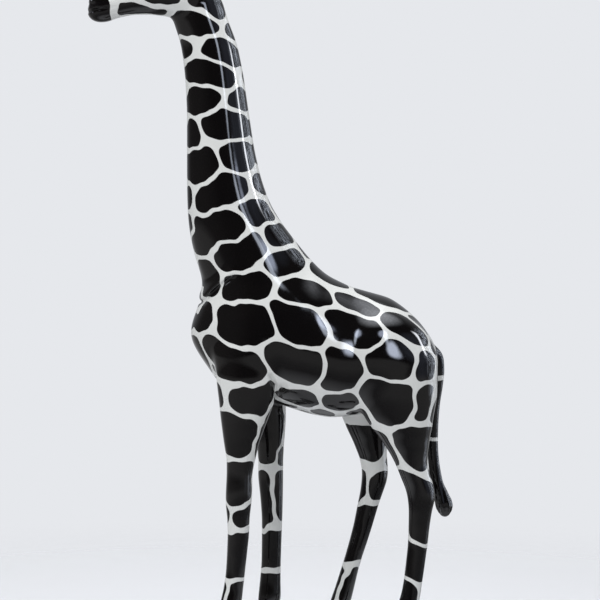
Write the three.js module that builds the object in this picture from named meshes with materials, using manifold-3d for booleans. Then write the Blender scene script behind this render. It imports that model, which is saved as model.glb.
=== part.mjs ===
// Standing giraffe statue, 1.46 m tall: hollow cast resin shells over a steel rod frame.
// Millimetres, +Z up. The head points to -Y and the statue's own left side is +X.
// The origin is the centre of the bounding box's base, on the floor.
import * as THREE from "three";
import { mergeVertices } from "three/addons/utils/BufferGeometryUtils.js";
import Module from "manifold-3d";

const wasm = await Module();
wasm.setup();

// Driving dimensions.
const WALL = 6; // cast shell thickness
const HEAD_WALL = 9; // the head's own shell is thicker, to hold the ears and ossicones
const GAP = 0.3; // glue line between two cast pieces
const PAD = 4; // rubber foot pad thickness
const LEG_CUT = 430; // height of the joint between a leg and the torso
const NECK_CUT = 800; // height of the joint between the torso and the neck
const HEAD_CUT = { y: -140, z: 1256, tilt: 24 }; // the head's joint, square to the top of the neck
const ROD = 5; // radius of the leg rods and the neck rod
const BAR = 12; // side of the square frame bars
const WIRE = 2.5; // radius of the tail's wire
const LEG_X = { hip: 66, hoof: 62 }; // a leg's distance from the middle plane, at its top and below the knee
const KNEE_Z = 370; // below this height a leg is at its full slant

// A limb is a list of stations [x, y, z, half depth, half width], from one end to the other.
// Depth is measured in the middle plane and width along X. The torso's rings stand upright,
// the head's are square to its line, and the others lie level.
const TORSO = [
  [0, -157, 636, 5, 5],
  [0, -150, 637, 27, 28],
  [0, -139, 640, 48, 46],
  [0, -122, 636, 72, 64],
  [0, -98, 630, 100, 80],
  [0, -60, 633, 121, 96],
  [0, -10, 636, 132, 108],
  [0, 40, 629, 145, 117],
  [0, 82, 620, 149, 121],
  [0, 122, 605, 141, 121],
  [0, 162, 597, 130, 118],
  [0, 202, 595, 121, 113],
  [0, 242, 597, 108, 104],
  [0, 280, 596, 82, 90],
  [0, 308, 594, 55, 70],
  [0, 326, 591, 30, 46],
  [0, 336, 590, 8, 14],
];
const TORSO_EGG = -0.16; // the barrel is narrower along the spine than at the belly

const NECK = [
  [0, -8, 600, 92, 70],
  [0, -22, 690, 100, 80],
  [0, -30, 745, 106, 79],
  [0, -37, 780, 111, 75],
  [0, -47, 806, 108, 71],
  [0, -67, 846, 95, 65],
  [0, -82, 888, 83, 60],
  [0, -92, 940, 74, 55],
  [0, -99, 1000, 67, 51],
  [0, -105, 1080, 61, 47],
  [0, -112, 1150, 58, 44],
  [0, -122, 1210, 56, 42],
  [0, -140, 1258, 55, 40],
  [0, -150, 1300, 53, 38],
  [0, -160, 1338, 44, 32],
];

const HEAD = [
  [0, -108, 1320, 10, 9],
  [0, -118, 1326, 32, 25],
  [0, -140, 1331, 52, 36],
  [0, -170, 1332, 64, 42],
  [0, -205, 1327, 64, 42],
  [0, -238, 1316, 50, 35],
  [0, -270, 1303, 38, 29],
  [0, -298, 1292, 33, 27],
  [0, -322, 1282, 32, 28],
  [0, -342, 1278, 29, 27],
  [0, -355, 1275, 20, 19],
  [0, -361, 1273, 6, 7],
];
const EYE = { x: 37, y: -206, z: 1346, r: 15 };

// Leg stations leave out x: it runs from hip to hoof by LEG_X.
const LEGS = {
  front_left: [
    [-48, 600, 66, 36],
    [-50, 550, 64, 40],
    [-54, 500, 54, 37],
    [-61, 446, 41, 32],
    [-64, 417, 34, 29],
    [-65, 388, 28, 26],
    [-68, 359, 25, 25],
    [-69, 320, 26, 26],
    [-70, 298, 25, 24],
    [-70, 275, 22, 21.5],
    [-70, 241, 21, 20],
    [-73, 200, 19.5, 18.5],
    [-76, 165, 18.5, 18],
    [-80, 134, 19, 18],
    [-85, 106, 21, 20],
    [-91, 82, 20, 20],
    [-98, 58, 21, 21],
    [-104, 36, 26, 24],
    [-111, PAD, 33, 27],
  ],
  front_right: [
    [-24, 600, 64, 36],
    [-16, 550, 58, 40],
    [-6, 500, 46, 36],
    [5, 455, 35, 31],
    [9, 415, 28, 27],
    [9, 375, 25.5, 25.5],
    [9, 340, 25.5, 26],
    [11, 300, 23, 23],
    [12, 260, 21, 20.5],
    [11, 210, 20, 19.5],
    [10, 165, 19.5, 19],
    [8, 125, 21, 20],
    [7, 97, 23, 22],
    [4, 72, 21, 21],
    [-1, 50, 22, 21.5],
    [-6, 32, 27, 24.5],
    [-13, PAD, 34, 28],
  ],
  rear_left: [
    [236, 640, 62, 36],
    [243, 585, 84, 50],
    [244, 545, 84, 51],
    [245, 506, 81, 48],
    [250, 467, 69, 42],
    [262, 427, 50, 34],
    [270, 397, 38, 29],
    [276, 372, 31, 26],
    [285, 346, 30, 25],
    [293, 325, 29, 24.5],
    [296, 306, 27.5, 24],
    [294, 285, 23.5, 21.5],
    [291, 251, 21, 19.5],
    [288, 212, 19.5, 18.5],
    [283, 173, 19, 18],
    [279, 143, 18.5, 18],
    [274, 114, 19, 19],
    [267, 90, 21, 20.5],
    [258, 66, 20, 20],
    [250, 46, 22, 21.5],
    [244, 29, 27, 24.5],
    [237, PAD, 33, 27],
  ],
  rear_right: [
    [222, 640, 56, 36],
    [222, 585, 75, 50],
    [215, 540, 73, 50],
    [208, 495, 62, 44],
    [208, 450, 47, 36],
    [214, 412, 35, 31],
    [221, 377, 28, 27],
    [225, 350, 27, 25],
    [223, 328, 26, 24.5],
    [218, 308, 23.5, 23],
    [210, 280, 21.5, 21],
    [200, 240, 19.5, 19],
    [190, 206, 18.5, 18.5],
    [180, 175, 17.5, 18],
    [170, 142, 18, 18.5],
    [161, 110, 19.5, 19.5],
    [154, 87, 21, 20.5],
    [146, 65, 20, 20],
    [138, 46, 22, 21.5],
    [132, 29, 27, 24.5],
    [125, PAD, 33, 27],
  ],
};

const TAIL = [
  [0, 312, 600, 9, 10],
  [0, 326, 599, 12, 12],
  [0, 339, 588, 12.5, 12],
  [0, 344, 562, 12, 11.5],
  [0, 342, 530, 11.5, 11],
  [0, 336, 492, 11.3, 11],
  [0, 332, 440, 11.3, 11],
  [0, 332, 396, 11.3, 11],
  [0, 336, 356, 12, 11.5],
  [0, 342, 324, 13.5, 13],
  [0, 351, 300, 16.5, 16.5],
  [0, 358, 281, 17.5, 18],
  [0, 359, 268, 13, 14],
  [0, 358, 260, 4, 5],
];

const EAR = [
  [36, -152, 1366, 8, 8],
  [48, -146, 1374, 11, 14],
  [66, -136, 1384, 8, 18],
  [84, -126, 1392, 6, 14],
  [98, -118, 1397, 3, 6],
];
const HORN = [
  [20, -172, 1388, 13, 13],
  [21, -168, 1402, 11.5, 11.5],
  [22, -163, 1424, 10, 10],
  [23, -160, 1440, 12, 12],
  [23, -158, 1451, 11, 11],
  [23, -157, 1458, 4, 4],
];

// A smooth curve through one limb's stations, with its two radii.
function limb(stations) {
  const through = (points) => new THREE.CatmullRomCurve3(points, false, "catmullrom", 0.5);
  return {
    line: through(stations.map(([x, y, z]) => new THREE.Vector3(x, y, z))),
    size: through(stations.map((s) => new THREE.Vector3(s[3], s[4], 0))),
    spans: stations.length - 1,
  };
}

const THINNEST = 1; // no ring of a loft has a smaller radius

// A closed loft along a limb: elliptical rings square to its line, and a fan over each end.
// shrink makes it thinner all round, egg narrows its far side, and facing keeps all rings parallel.
function loft(stations, { sides = 20, perSpan = 1, shrink = 0, egg = 0, facing = null } = {}) {
  const { line, size, spans } = limb(stations);
  const steps = spans * perSpan;
  const across = new THREE.Vector3(1, 0, 0);
  const points = [];
  for (let i = 0; i <= steps; i++) {
    const at = line.getPoint(i / steps);
    const radii = size.getPoint(i / steps);
    const along = facing ?? line.getTangent(i / steps);
    const side = across.clone().addScaledVector(along, -across.dot(along)).normalize();
    const up = new THREE.Vector3().crossVectors(side, along).normalize();
    const deep = Math.max(radii.x - shrink, THINNEST);
    const wide = Math.max(radii.y - shrink, THINNEST);
    for (let k = 0; k < sides; k++) {
      const turn = (2 * Math.PI * k) / sides;
      const rise = Math.cos(turn);
      const spread = Math.sin(turn) * wide * (1 + egg * rise);
      points.push(at.clone().addScaledVector(up, deep * rise).addScaledVector(side, spread));
    }
  }
  const ends = [points.length, points.length + 1];
  points.push(line.getPoint(0), line.getPoint(1));
  const faces = [];
  for (let k = 0; k < sides; k++) {
    const next = (k + 1) % sides;
    for (let i = 0; i < steps; i++) {
      const [a, b, c, d] = [i * sides + k, i * sides + next, (i + 1) * sides + k, (i + 1) * sides + next];
      faces.push(a, b, d, a, d, c);
    }
    faces.push(ends[0], next, k, ends[1], steps * sides + k, steps * sides + next);
  }
  const geometry = new THREE.BufferGeometry().setFromPoints(points);
  geometry.setIndex(faces);
  return solid(geometry);
}

// A geometry as a solid that can be joined and cut, turned the right way out if need be.
function solid(geometry) {
  const bare = geometry.clone();
  bare.deleteAttribute("normal");
  bare.deleteAttribute("uv");
  const merged = mergeVertices(bare, 1e-4);
  const triVerts = new Uint32Array(merged.index.array);
  const vertProperties = new Float32Array(merged.attributes.position.array);
  const make = () => new wasm.Manifold(new wasm.Mesh({ numProp: 3, vertProperties, triVerts }));
  const made = make();
  if (made.volume() > 0) return made;
  for (let i = 0; i < triVerts.length; i += 3) {
    [triVerts[i + 1], triVerts[i + 2]] = [triVerts[i + 2], triVerts[i + 1]];
  }
  return make();
}

// A solid box between two corners.
function box(low, high) {
  const size = high.map((h, i) => h - low[i]);
  const geometry = new THREE.BoxGeometry(...size);
  geometry.translate(...low.map((l, i) => l + size[i] / 2));
  return solid(geometry);
}

// A round rod along a smooth line through points.
function rod(points, radius, steps = 12) {
  const path = new THREE.CatmullRomCurve3(points.map((p) => new THREE.Vector3(...p)));
  const section = new THREE.Shape().absarc(0, 0, radius, 0, 2 * Math.PI);
  const options = { steps, bevelEnabled: false, extrudePath: path, curveSegments: 4 };
  return solid(new THREE.ExtrudeGeometry(section, options));
}

// A square bar from one point to another.
function bar(from, to) {
  const path = new THREE.LineCurve3(new THREE.Vector3(...from), new THREE.Vector3(...to));
  const half = BAR / 2;
  const section = new THREE.Shape();
  section.moveTo(-half, -half).lineTo(half, -half).lineTo(half, half).lineTo(-half, half).closePath();
  return solid(new THREE.ExtrudeGeometry(section, { steps: 1, bevelEnabled: false, extrudePath: path }));
}

// A big block whose lower face is the head's joint plane, moved along the plane's normal.
const BLOCK = 900;
function aboveHeadCut(offset) {
  const geometry = new THREE.BoxGeometry(BLOCK, BLOCK, BLOCK);
  geometry.translate(0, 0, BLOCK / 2 + offset);
  geometry.rotateX(THREE.MathUtils.degToRad(HEAD_CUT.tilt));
  geometry.translate(0, HEAD_CUT.y, HEAD_CUT.z);
  return solid(geometry);
}

const FAR = 2000;
const above = (z) => box([-FAR, -FAR, z], [FAR, FAR, z + FAR]);
const below = (z) => box([-FAR, -FAR, z - FAR], [FAR, FAR, z]);
const leftOf = (x) => box([x, -FAR, -FAR], [x + FAR, FAR, FAR]);
const rightOf = (x) => box([x - FAR, -FAR, -FAR], [x, FAR, FAR]);
const mirrored = (part) => part.mirror([1, 0, 0]);

// One leg's stations with x filled in, on the left for side 1 and the right for side -1.
function legStations(name) {
  const side = name.endsWith("left") ? 1 : -1;
  const rows = LEGS[name];
  const top = rows[0][1];
  return rows.map(([y, z, deep, wide]) => {
    const share = Math.min(1, (top - z) / (top - KNEE_Z));
    const x = LEG_X.hip + (LEG_X.hoof - LEG_X.hip) * share;
    return [side * x, y, z, deep, wide];
  });
}

const LEG_NAMES = Object.keys(LEGS);
const limbs = Object.fromEntries(LEG_NAMES.map((name) => [name, legStations(name)]));

// The steel frame: a spine bar over two cross bars, four leg rods below and the neck rod above.
const CROSS_Z = 600;
const CROSS_REACH = LEG_X.hip;
const SPINE_OVERHANG = 20;
const SPINE_Z = CROSS_Z + BAR + GAP;
const FRONT_BAR = { left: -50, right: -24 };
const REAR_BAR = { left: 238, right: 222 };
const middle = ({ left, right }) => (left + right) / 2;
const crossBar = ({ left, right }) =>
  bar([-CROSS_REACH - BAR, right, CROSS_Z], [CROSS_REACH + BAR, left, CROSS_Z]);

const spineBar = bar(
  [0, middle(FRONT_BAR) - SPINE_OVERHANG, SPINE_Z],
  [0, middle(REAR_BAR) + SPINE_OVERHANG, SPINE_Z],
);

// A leg rod follows every third station of its leg, from above the hoof to the cross bar's
// underside, and its last stretch is upright.
const ROD_HEAD = 40;
const ROD_SPAN = { low: 40, high: 540 };
function rodPoints(name) {
  const rows = limbs[name].filter(([, , z]) => z > ROD_SPAN.low && z < ROD_SPAN.high);
  const topY = (name.startsWith("front") ? FRONT_BAR : REAR_BAR)[name.endsWith("left") ? "left" : "right"];
  const x = Math.sign(rows[0][0]) * CROSS_REACH;
  const head = CROSS_Z - BAR / 2 - 2 * GAP;
  const middleRows = rows.filter((_, i) => i % 3 === 1).map(([px, y, z]) => [px, y, z]);
  return [[x, topY, head], [x, topY, head - ROD_HEAD / 2], [x, topY, head - ROD_HEAD], ...middleRows];
}

// The neck rod stands on the spine bar and follows the neck's line to below the head's joint.
const NECK_ROD = { low: 750, high: 1200 };
const neckRodPoints = [
  [0, middle(FRONT_BAR), SPINE_Z + BAR / 2 + GAP],
  [0, -36, 700],
  ...NECK.filter(([, , z]) => z > NECK_ROD.low && z < NECK_ROD.high).map(([x, y, z]) => [x, y, z]),
];

// Outer and inner skins of the hollow castings.
const BACK = new THREE.Vector3(0, 1, 0);
const UP = new THREE.Vector3(0, 0, 1);
const DOWN = new THREE.Vector3(0, 0, -1);
const torsoSkin = (shrink, sides) => loft(TORSO, { sides, shrink, egg: TORSO_EGG, facing: BACK });
const neckSkin = (shrink, sides) => loft(NECK, { sides, shrink, facing: UP });
const headSkin = (shrink, sides) => loft(HEAD, { sides, shrink });
const legSkin = (name) => loft(limbs[name], { sides: 14, facing: DOWN });

const legSolids = Object.fromEntries(LEG_NAMES.map((name) => [name, legSkin(name)]));
const legBores = LEG_NAMES.map((name) => rod(rodPoints(name), ROD + GAP));
const allBores = legBores.reduce((all, bore) => all.add(bore));

const bodyOuter = LEG_NAMES.reduce(
  (all, name) => all.add(legSolids[name]),
  torsoSkin(0, 24).add(neckSkin(0, 20)),
);
const bodyInner = torsoSkin(WALL, 16).add(neckSkin(WALL, 14));
const tailSocket = loft(TAIL, { sides: 10, shrink: -GAP });

const torsoCasting = bodyOuter
  .subtract(bodyInner)
  .subtract(above(NECK_CUT - GAP / 2))
  .subtract(below(LEG_CUT + GAP / 2))
  .subtract(allBores)
  .subtract(tailSocket);
const torsoLeft = torsoCasting.subtract(rightOf(GAP / 2));
const torsoRight = torsoCasting.subtract(leftOf(-GAP / 2));

const neckCasting = neckSkin(0, 20)
  .subtract(neckSkin(WALL, 14))
  .subtract(below(NECK_CUT + GAP / 2))
  .subtract(aboveHeadCut(-GAP / 2));

const eyes = [1, -1].map((side) => {
  const ball = new THREE.SphereGeometry(EYE.r, 12, 8);
  return solid(ball.translate(side * EYE.x, EYE.y, EYE.z));
});
const earLeft = loft(EAR, { sides: 14, perSpan: 2 });
const hornLeft = loft(HORN, { sides: 14, perSpan: 1 });
const sockets = [
  loft(EAR, { sides: 14, perSpan: 2, shrink: -GAP }),
  loft(HORN, { sides: 14, shrink: -GAP }),
].flatMap((socket) => [socket, mirrored(socket)]);

const headCasting = sockets.reduce(
  (all, socket) => all.subtract(socket),
  headSkin(0, 18)
    .add(neckSkin(0, 20))
    .add(eyes[0])
    .add(eyes[1])
    .subtract(headSkin(HEAD_WALL, 12).add(neckSkin(WALL, 14)))
    .intersect(aboveHeadCut(GAP / 2)),
);

// A collar glued inside the joint between two hollow castings, reaching below and above it.
const COLLAR = { inner: WALL + 4, reach: 28, headReach: 9 };
const collar = neckSkin(WALL + GAP, 14).subtract(neckSkin(COLLAR.inner, 14));
const neckCollar = collar
  .intersect(above(NECK_CUT - COLLAR.reach))
  .intersect(below(NECK_CUT + COLLAR.reach));
const headCollar = collar
  .intersect(aboveHeadCut(-COLLAR.reach))
  .subtract(aboveHeadCut(COLLAR.headReach));

// Two glass fibre strips laminated over the torso's middle seam, inside: along the back, from
// behind the neck's opening, and along the belly.
const STRIP = { half: 22, thick: 2, backFront: 100, bellyFront: -90, rear: 290, split: 600 };
const seamStrip = (front, low, high) =>
  torsoSkin(WALL + GAP, 16)
    .subtract(torsoSkin(WALL + GAP + STRIP.thick, 16))
    .intersect(box([-STRIP.half, front, low], [STRIP.half, STRIP.rear, high]));
const backStrip = seamStrip(STRIP.backFront, STRIP.split, FAR);
const bellyStrip = seamStrip(STRIP.bellyFront, 0, STRIP.split);

// A leg casting: its loft below the joint, bored for its rod.
const legCasting = (name, i) => legSolids[name].subtract(above(LEG_CUT - GAP / 2)).subtract(legBores[i]);

// A foot pad has its hoof's outline, a little inside its edge.
const PAD_INSET = 2;
function footPad(name) {
  const [x, y, , deep, wide] = limbs[name].at(-1);
  const outline = new THREE.Shape().absellipse(x, y, wide - PAD_INSET, deep - PAD_INSET, 0, 2 * Math.PI);
  const options = { depth: PAD - GAP, bevelEnabled: false, curveSegments: 8 };
  return solid(new THREE.ExtrudeGeometry(outline, options));
}

const WIRE_START = [0, 296, 600]; // the wire's bare end, inside the rump
const WIRE_END_Z = 280; // the wire stops inside the tuft
const tailWirePoints = [
  WIRE_START,
  ...TAIL.filter(([, , z]) => z > WIRE_END_Z).map(([x, y, z]) => [x, y, z]),
];
const tailBody = loft(TAIL, { sides: 10 }).subtract(rod(tailWirePoints, WIRE + GAP, 20));

// Finishes.
const finish = (color, roughness, metalness) =>
  new THREE.MeshStandardMaterial({ color, roughness, metalness });
const lacquer = finish(0x0b0b0c, 0.08, 0);
const steel = finish(0x8d9094, 0.4, 1);
const glassFibre = finish(0xc9c6a8, 0.6, 0);
const rubber = finish(0x1a1a1a, 0.9, 0);

const statue = new THREE.Group();
function place(name, part, material) {
  const { numProp, vertProperties, triVerts } = part.getMesh();
  const points = new Float32Array((vertProperties.length / numProp) * 3);
  for (let i = 0; i < points.length / 3; i++) {
    points.set(vertProperties.subarray(i * numProp, i * numProp + 3), i * 3);
  }
  const geometry = new THREE.BufferGeometry();
  geometry.setAttribute("position", new THREE.BufferAttribute(points, 3));
  geometry.setIndex(new THREE.BufferAttribute(triVerts, 1));
  geometry.computeVertexNormals();
  const mesh = new THREE.Mesh(geometry, material);
  mesh.name = name;
  statue.add(mesh);
}

place("torso_left_shell", torsoLeft, lacquer);
place("torso_right_shell", torsoRight, lacquer);
place("back_seam_strip", backStrip, glassFibre);
place("belly_seam_strip", bellyStrip, glassFibre);
place("neck_shell", neckCasting, lacquer);
place("neck_collar", neckCollar, glassFibre);
place("head_shell", headCasting, lacquer);
place("head_collar", headCollar, glassFibre);
place("left_ear", earLeft, lacquer);
place("right_ear", mirrored(earLeft), lacquer);
place("left_ossicone", hornLeft, lacquer);
place("right_ossicone", mirrored(hornLeft), lacquer);
place("tail", tailBody, lacquer);
place("tail_wire", rod(tailWirePoints, WIRE, 20), steel);
LEG_NAMES.forEach((name, i) => {
  place(`${name}_leg`, legCasting(name, i), lacquer);
  place(`${name}_leg_rod`, rod(rodPoints(name), ROD), steel);
  place(`${name}_foot_pad`, footPad(name), rubber);
});
place("front_cross_bar", crossBar(FRONT_BAR), steel);
place("rear_cross_bar", crossBar(REAR_BAR), steel);
place("spine_bar", spineBar, steel);
place("neck_rod", rod(neckRodPoints, ROD, 16), steel);

// The group moves so that the box round the statue is centred over the origin.
const around = new THREE.Box3().setFromObject(statue);
const centre = around.getCenter(new THREE.Vector3());
statue.position.set(-centre.x, -centre.y, -around.min.z);

export default statue;
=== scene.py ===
"""The looks of a lacquered cast giraffe statue: smooth castings, painted patches, stage and camera."""

import functools
import itertools
import math

import bpy
import numpy as np
from bpy.props import FloatProperty, FloatVectorProperty, IntProperty, PointerProperty
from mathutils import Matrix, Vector


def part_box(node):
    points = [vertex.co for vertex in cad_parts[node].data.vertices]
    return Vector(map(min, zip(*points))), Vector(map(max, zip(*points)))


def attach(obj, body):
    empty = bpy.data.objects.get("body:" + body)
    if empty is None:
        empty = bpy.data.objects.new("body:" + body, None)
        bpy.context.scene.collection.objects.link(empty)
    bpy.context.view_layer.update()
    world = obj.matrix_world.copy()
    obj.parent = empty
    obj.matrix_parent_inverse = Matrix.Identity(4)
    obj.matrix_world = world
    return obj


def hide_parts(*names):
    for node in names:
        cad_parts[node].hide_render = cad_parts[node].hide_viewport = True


bl_info = {
    "name": "Giraffe statue",
    "version": (1, 0, 0),
    "blender": (4, 5, 0),
    "location": "View3D > Sidebar > Statue",
    "description": "Builds a lacquered giraffe statue round its steel frame",
    "category": "Add Mesh",
}

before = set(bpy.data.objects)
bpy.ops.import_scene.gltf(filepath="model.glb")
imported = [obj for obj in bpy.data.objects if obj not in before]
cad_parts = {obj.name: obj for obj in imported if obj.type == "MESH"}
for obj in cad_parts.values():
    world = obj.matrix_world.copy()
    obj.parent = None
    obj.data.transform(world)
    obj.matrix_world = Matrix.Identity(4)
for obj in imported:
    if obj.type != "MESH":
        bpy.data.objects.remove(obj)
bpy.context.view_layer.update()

# All design sizes are in millimetres, in the design frame, and the pieces are in metres.
MM = 0.001
PAD = 4
LEG_CUT = 430
NECK_CUT = 800
HEAD_CUT = {"y": -140, "z": 1256, "tilt": math.radians(24)}
WALL = 6
LEG_NAMES = ("front_left", "front_right", "rear_left", "rear_right")

# A limb's stations: x, y, z, half depth in the middle plane, half width along X.
TORSO = (
    (0, -157, 636, 5, 5),
    (0, -150, 637, 27, 28),
    (0, -139, 640, 48, 46),
    (0, -122, 636, 72, 64),
    (0, -98, 630, 100, 80),
    (0, -60, 633, 121, 96),
    (0, -10, 636, 132, 108),
    (0, 40, 629, 145, 116),
    (0, 82, 620, 149, 119),
    (0, 122, 605, 141, 119),
    (0, 162, 597, 130, 116),
    (0, 202, 595, 121, 113),
    (0, 242, 597, 108, 104),
    (0, 280, 596, 82, 90),
    (0, 308, 594, 55, 70),
    (0, 326, 591, 30, 46),
    (0, 336, 590, 8, 14),
)
NECK = (
    (0, -8, 600, 92, 70),
    (0, -22, 690, 100, 80),
    (0, -30, 745, 106, 79),
    (0, -37, 780, 111, 75),
    (0, -47, 806, 108, 71),
    (0, -67, 846, 95, 65),
    (0, -82, 888, 83, 60),
    (0, -92, 940, 74, 55),
    (0, -99, 1000, 67, 51),
    (0, -105, 1080, 61, 47),
    (0, -112, 1150, 58, 44),
    (0, -122, 1210, 56, 42),
    (0, -140, 1258, 55, 40),
    (0, -150, 1300, 53, 38),
    (0, -160, 1338, 44, 32),
)
HEAD = (
    (0, -108, 1320, 10, 9),
    (0, -118, 1326, 32, 25),
    (0, -140, 1331, 52, 36),
    (0, -170, 1332, 64, 42),
    (0, -205, 1327, 64, 42),
    (0, -238, 1316, 50, 35),
    (0, -270, 1303, 38, 29),
    (0, -298, 1292, 33, 27),
    (0, -322, 1282, 32, 28),
    (0, -342, 1278, 29, 27),
    (0, -355, 1275, 20, 19),
    (0, -361, 1273, 6, 7),
)
# A limb that ends inside another closes within this length.
CLOSING = 45
# How far a leg's axis lies from the middle plane at its top, and from the given height down.
HIP_X = 66
HOOF_X = 62
STRAIGHT_BELOW = 370
LEGS = {
    "front_left": (
        (-48, 600, 66, 36),
        (-50, 550, 64, 40),
        (-54, 500, 54, 37),
        (-61, 446, 41, 32),
        (-64, 417, 34, 29),
        (-65, 388, 28, 26),
        (-68, 359, 25, 25),
        (-69, 320, 26, 26),
        (-70, 298, 25, 24),
        (-70, 275, 22, 21.5),
        (-70, 241, 21, 20),
        (-73, 200, 19.5, 18.5),
        (-76, 165, 18.5, 18),
        (-80, 134, 19, 18),
        (-85, 106, 21, 20),
        (-91, 82, 20, 20),
        (-98, 58, 21, 21),
        (-104, 36, 26, 24),
        (-111, PAD, 33, 27),
    ),
    "front_right": (
        (-24, 600, 64, 36),
        (-16, 550, 58, 40),
        (-6, 500, 46, 36),
        (5, 455, 35, 31),
        (9, 415, 28, 27),
        (9, 375, 25.5, 25.5),
        (9, 340, 25.5, 26),
        (11, 300, 23, 23),
        (12, 260, 21, 20.5),
        (11, 210, 20, 19.5),
        (10, 165, 19.5, 19),
        (8, 125, 21, 20),
        (7, 97, 23, 22),
        (4, 72, 21, 21),
        (-1, 50, 22, 21.5),
        (-6, 32, 27, 24.5),
        (-13, PAD, 34, 28),
    ),
    "rear_left": (
        (236, 640, 62, 36),
        (243, 585, 84, 50),
        (244, 545, 84, 51),
        (245, 506, 81, 48),
        (250, 467, 69, 42),
        (262, 427, 50, 34),
        (270, 397, 38, 29),
        (276, 372, 31, 26),
        (285, 346, 30, 25),
        (293, 325, 29, 24.5),
        (296, 306, 27.5, 24),
        (294, 285, 23.5, 21.5),
        (291, 251, 21, 19.5),
        (288, 212, 19.5, 18.5),
        (283, 173, 19, 18),
        (279, 143, 18.5, 18),
        (274, 114, 19, 19),
        (267, 90, 21, 20.5),
        (258, 66, 20, 20),
        (250, 46, 22, 21.5),
        (244, 29, 27, 24.5),
        (237, PAD, 33, 27),
    ),
    "rear_right": (
        (222, 640, 56, 36),
        (222, 585, 75, 50),
        (215, 540, 73, 50),
        (208, 495, 62, 44),
        (208, 450, 47, 36),
        (214, 412, 35, 31),
        (221, 377, 28, 27),
        (225, 350, 27, 25),
        (223, 328, 26, 24.5),
        (218, 308, 23.5, 23),
        (210, 280, 21.5, 21),
        (200, 240, 19.5, 19),
        (190, 206, 18.5, 18.5),
        (180, 175, 17.5, 18),
        (170, 142, 18, 18.5),
        (161, 110, 19.5, 19.5),
        (154, 87, 21, 20.5),
        (146, 65, 20, 20),
        (138, 46, 22, 21.5),
        (132, 29, 27, 24.5),
        (125, PAD, 33, 27),
    ),
}
TAIL = (
    (0, 312, 600, 9),
    (0, 326, 599, 12),
    (0, 339, 588, 12.2),
    (0, 344, 562, 11.8),
    (0, 342, 530, 11.2),
    (0, 336, 492, 11.2),
    (0, 332, 440, 11.2),
    (0, 332, 396, 11.2),
    (0, 336, 356, 11.7),
    (0, 342, 324, 13.3),
    (0, 350, 300, 15.5),
    (0, 356, 281, 16),
    (0, 357, 272, 11.5),
)

# The patches: discs y, z, radius, on the surface where a level line from the left meets it.
FLANK = (
    ((-78, 727, 22), (-52, 729, 26), (-32, 726, 25), (-91, 716, 14)),
    ((26, 721, 21), (50, 718, 22), (78, 709, 22), (97, 703, 16)),
    ((133, 702, 11), (154, 692, 15), (179, 682, 17), (197, 677, 13)),
    ((229, 659, 20), (252, 651, 20), (274, 638, 20), (295, 625, 14)),
    ((104, 672, 13), (134, 645, 30), (160, 640, 33), (180, 633, 27)),
    ((202, 577, 26), (228, 590, 33), (248, 577, 26), (226, 572, 26)),
    ((299, 585, 20), (294, 560, 19)),
    ((4, 683, 16), (34, 657, 34), (58, 650, 37), (74, 640, 27)),
    ((-82, 652, 31), (-58, 654, 38), (-40, 648, 33), (-94, 674, 18)),
    ((-2, 594, 22), (32, 574, 34), (58, 570, 34), (18, 578, 28)),
    ((106, 591, 17), (130, 566, 31), (129, 556, 32), (110, 543, 19)),
    ((15, 518, 12), (38, 506, 19), (62, 502, 22)),
    ((112, 497, 21), (138, 498, 24)),
    ((197, 514, 28), (228, 495, 41), (190, 524, 20), (244, 515, 20)),
    ((290, 500, 17), (298, 525, 12), (289, 480, 14)),
    ((-124, 606, 23), (-100, 580, 26), (-76, 578, 26), (-48, 566, 27)),
    ((-64, 505, 25), (-40, 502, 26), (-14, 522, 17), (-26, 490, 20)),
    ((14, -150, 655, 16), (-138, 662, 20), (-133, 682, 13), (-147, 648, 12)),
    ((15, -140, 748, 17), (-133, 760, 19), (-121, 736, 21), (-130, 716, 11)),
)
NECK_SIDE = (
    ((11, -190, 1240, 20), (-177, 1246, 20), (-150, 1246, 23), (-121, 1235, 14)),
    ((11, -183, 1196, 22), (-173, 1196, 22)),
    ((-122, 1196, 18), (-98, 1190, 19), (-76, 1183, 19), (13, -64, 1181, 19)),
    ((11, -173, 1149, 20), (-159, 1149, 21), (-135, 1150, 19), (-112, 1146, 21), (-91, 1136, 16)),
    ((11, -168, 1094, 25), (-154, 1094, 26), (-124, 1096, 22)),
    ((-70, 1095, 21), (-58, 1094, 22), (12, -48, 1094, 21)),
    ((12, -167, 1030, 23), (-159, 1040, 16), (-158, 1019, 17)),
    ((-112, 1045, 27), (-85, 1044, 25), (-62, 1042, 22), (12, -44, 1042, 19)),
    ((12, -166, 961, 27), (-150, 962, 29), (-136, 971, 29)),
    ((-76, 984, 27), (-52, 989, 21), (-74, 972, 18), (12, -38, 990, 20)),
    ((-131, 896, 24), (-110, 911, 21), (-90, 921, 26), (-71, 921, 22)),
    ((-38, 866, 25), (-20, 877, 21), (-60, 880, 12), (-4, 864, 12)),
    ((-144, 814, 25), (-122, 842, 25), (-97, 846, 26), (-80, 843, 22), (-145, 852, 13)),
    ((3, 829, 22), (20, 833, 18), (34, 826, 12)),
    ((-88, 784, 25), (-62, 786, 27), (-40, 806, 24)),
    ((2, 768, 24), (24, 772, 23), (42, 785, 21)),
    ((13, -18, 935, 16), (-29, 935, 15), (-20, 922, 13)),
    ((-84, 1236, 14), (-79, 1226, 11)),
    ((-108, 1276, 20), (-130, 1298, 20), (-150, 1302, 19)),
)
HEAD_SIDE = (
    ((-293, 1272, 10), (-270, 1273, 9), (-240, 1269, 8), (-212, 1267, 6)),
    ((-246, 1303, 17), (-222, 1305, 19), (-200, 1303, 17)),
    ((-168, 1345, 18), (-150, 1352, 16)),
    ((-206, 1346, 17),),
    ((-255, 1336, 10), (-238, 1343, 9)),
    ((-296, 1305, 10), (-282, 1310, 9)),
)
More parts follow.
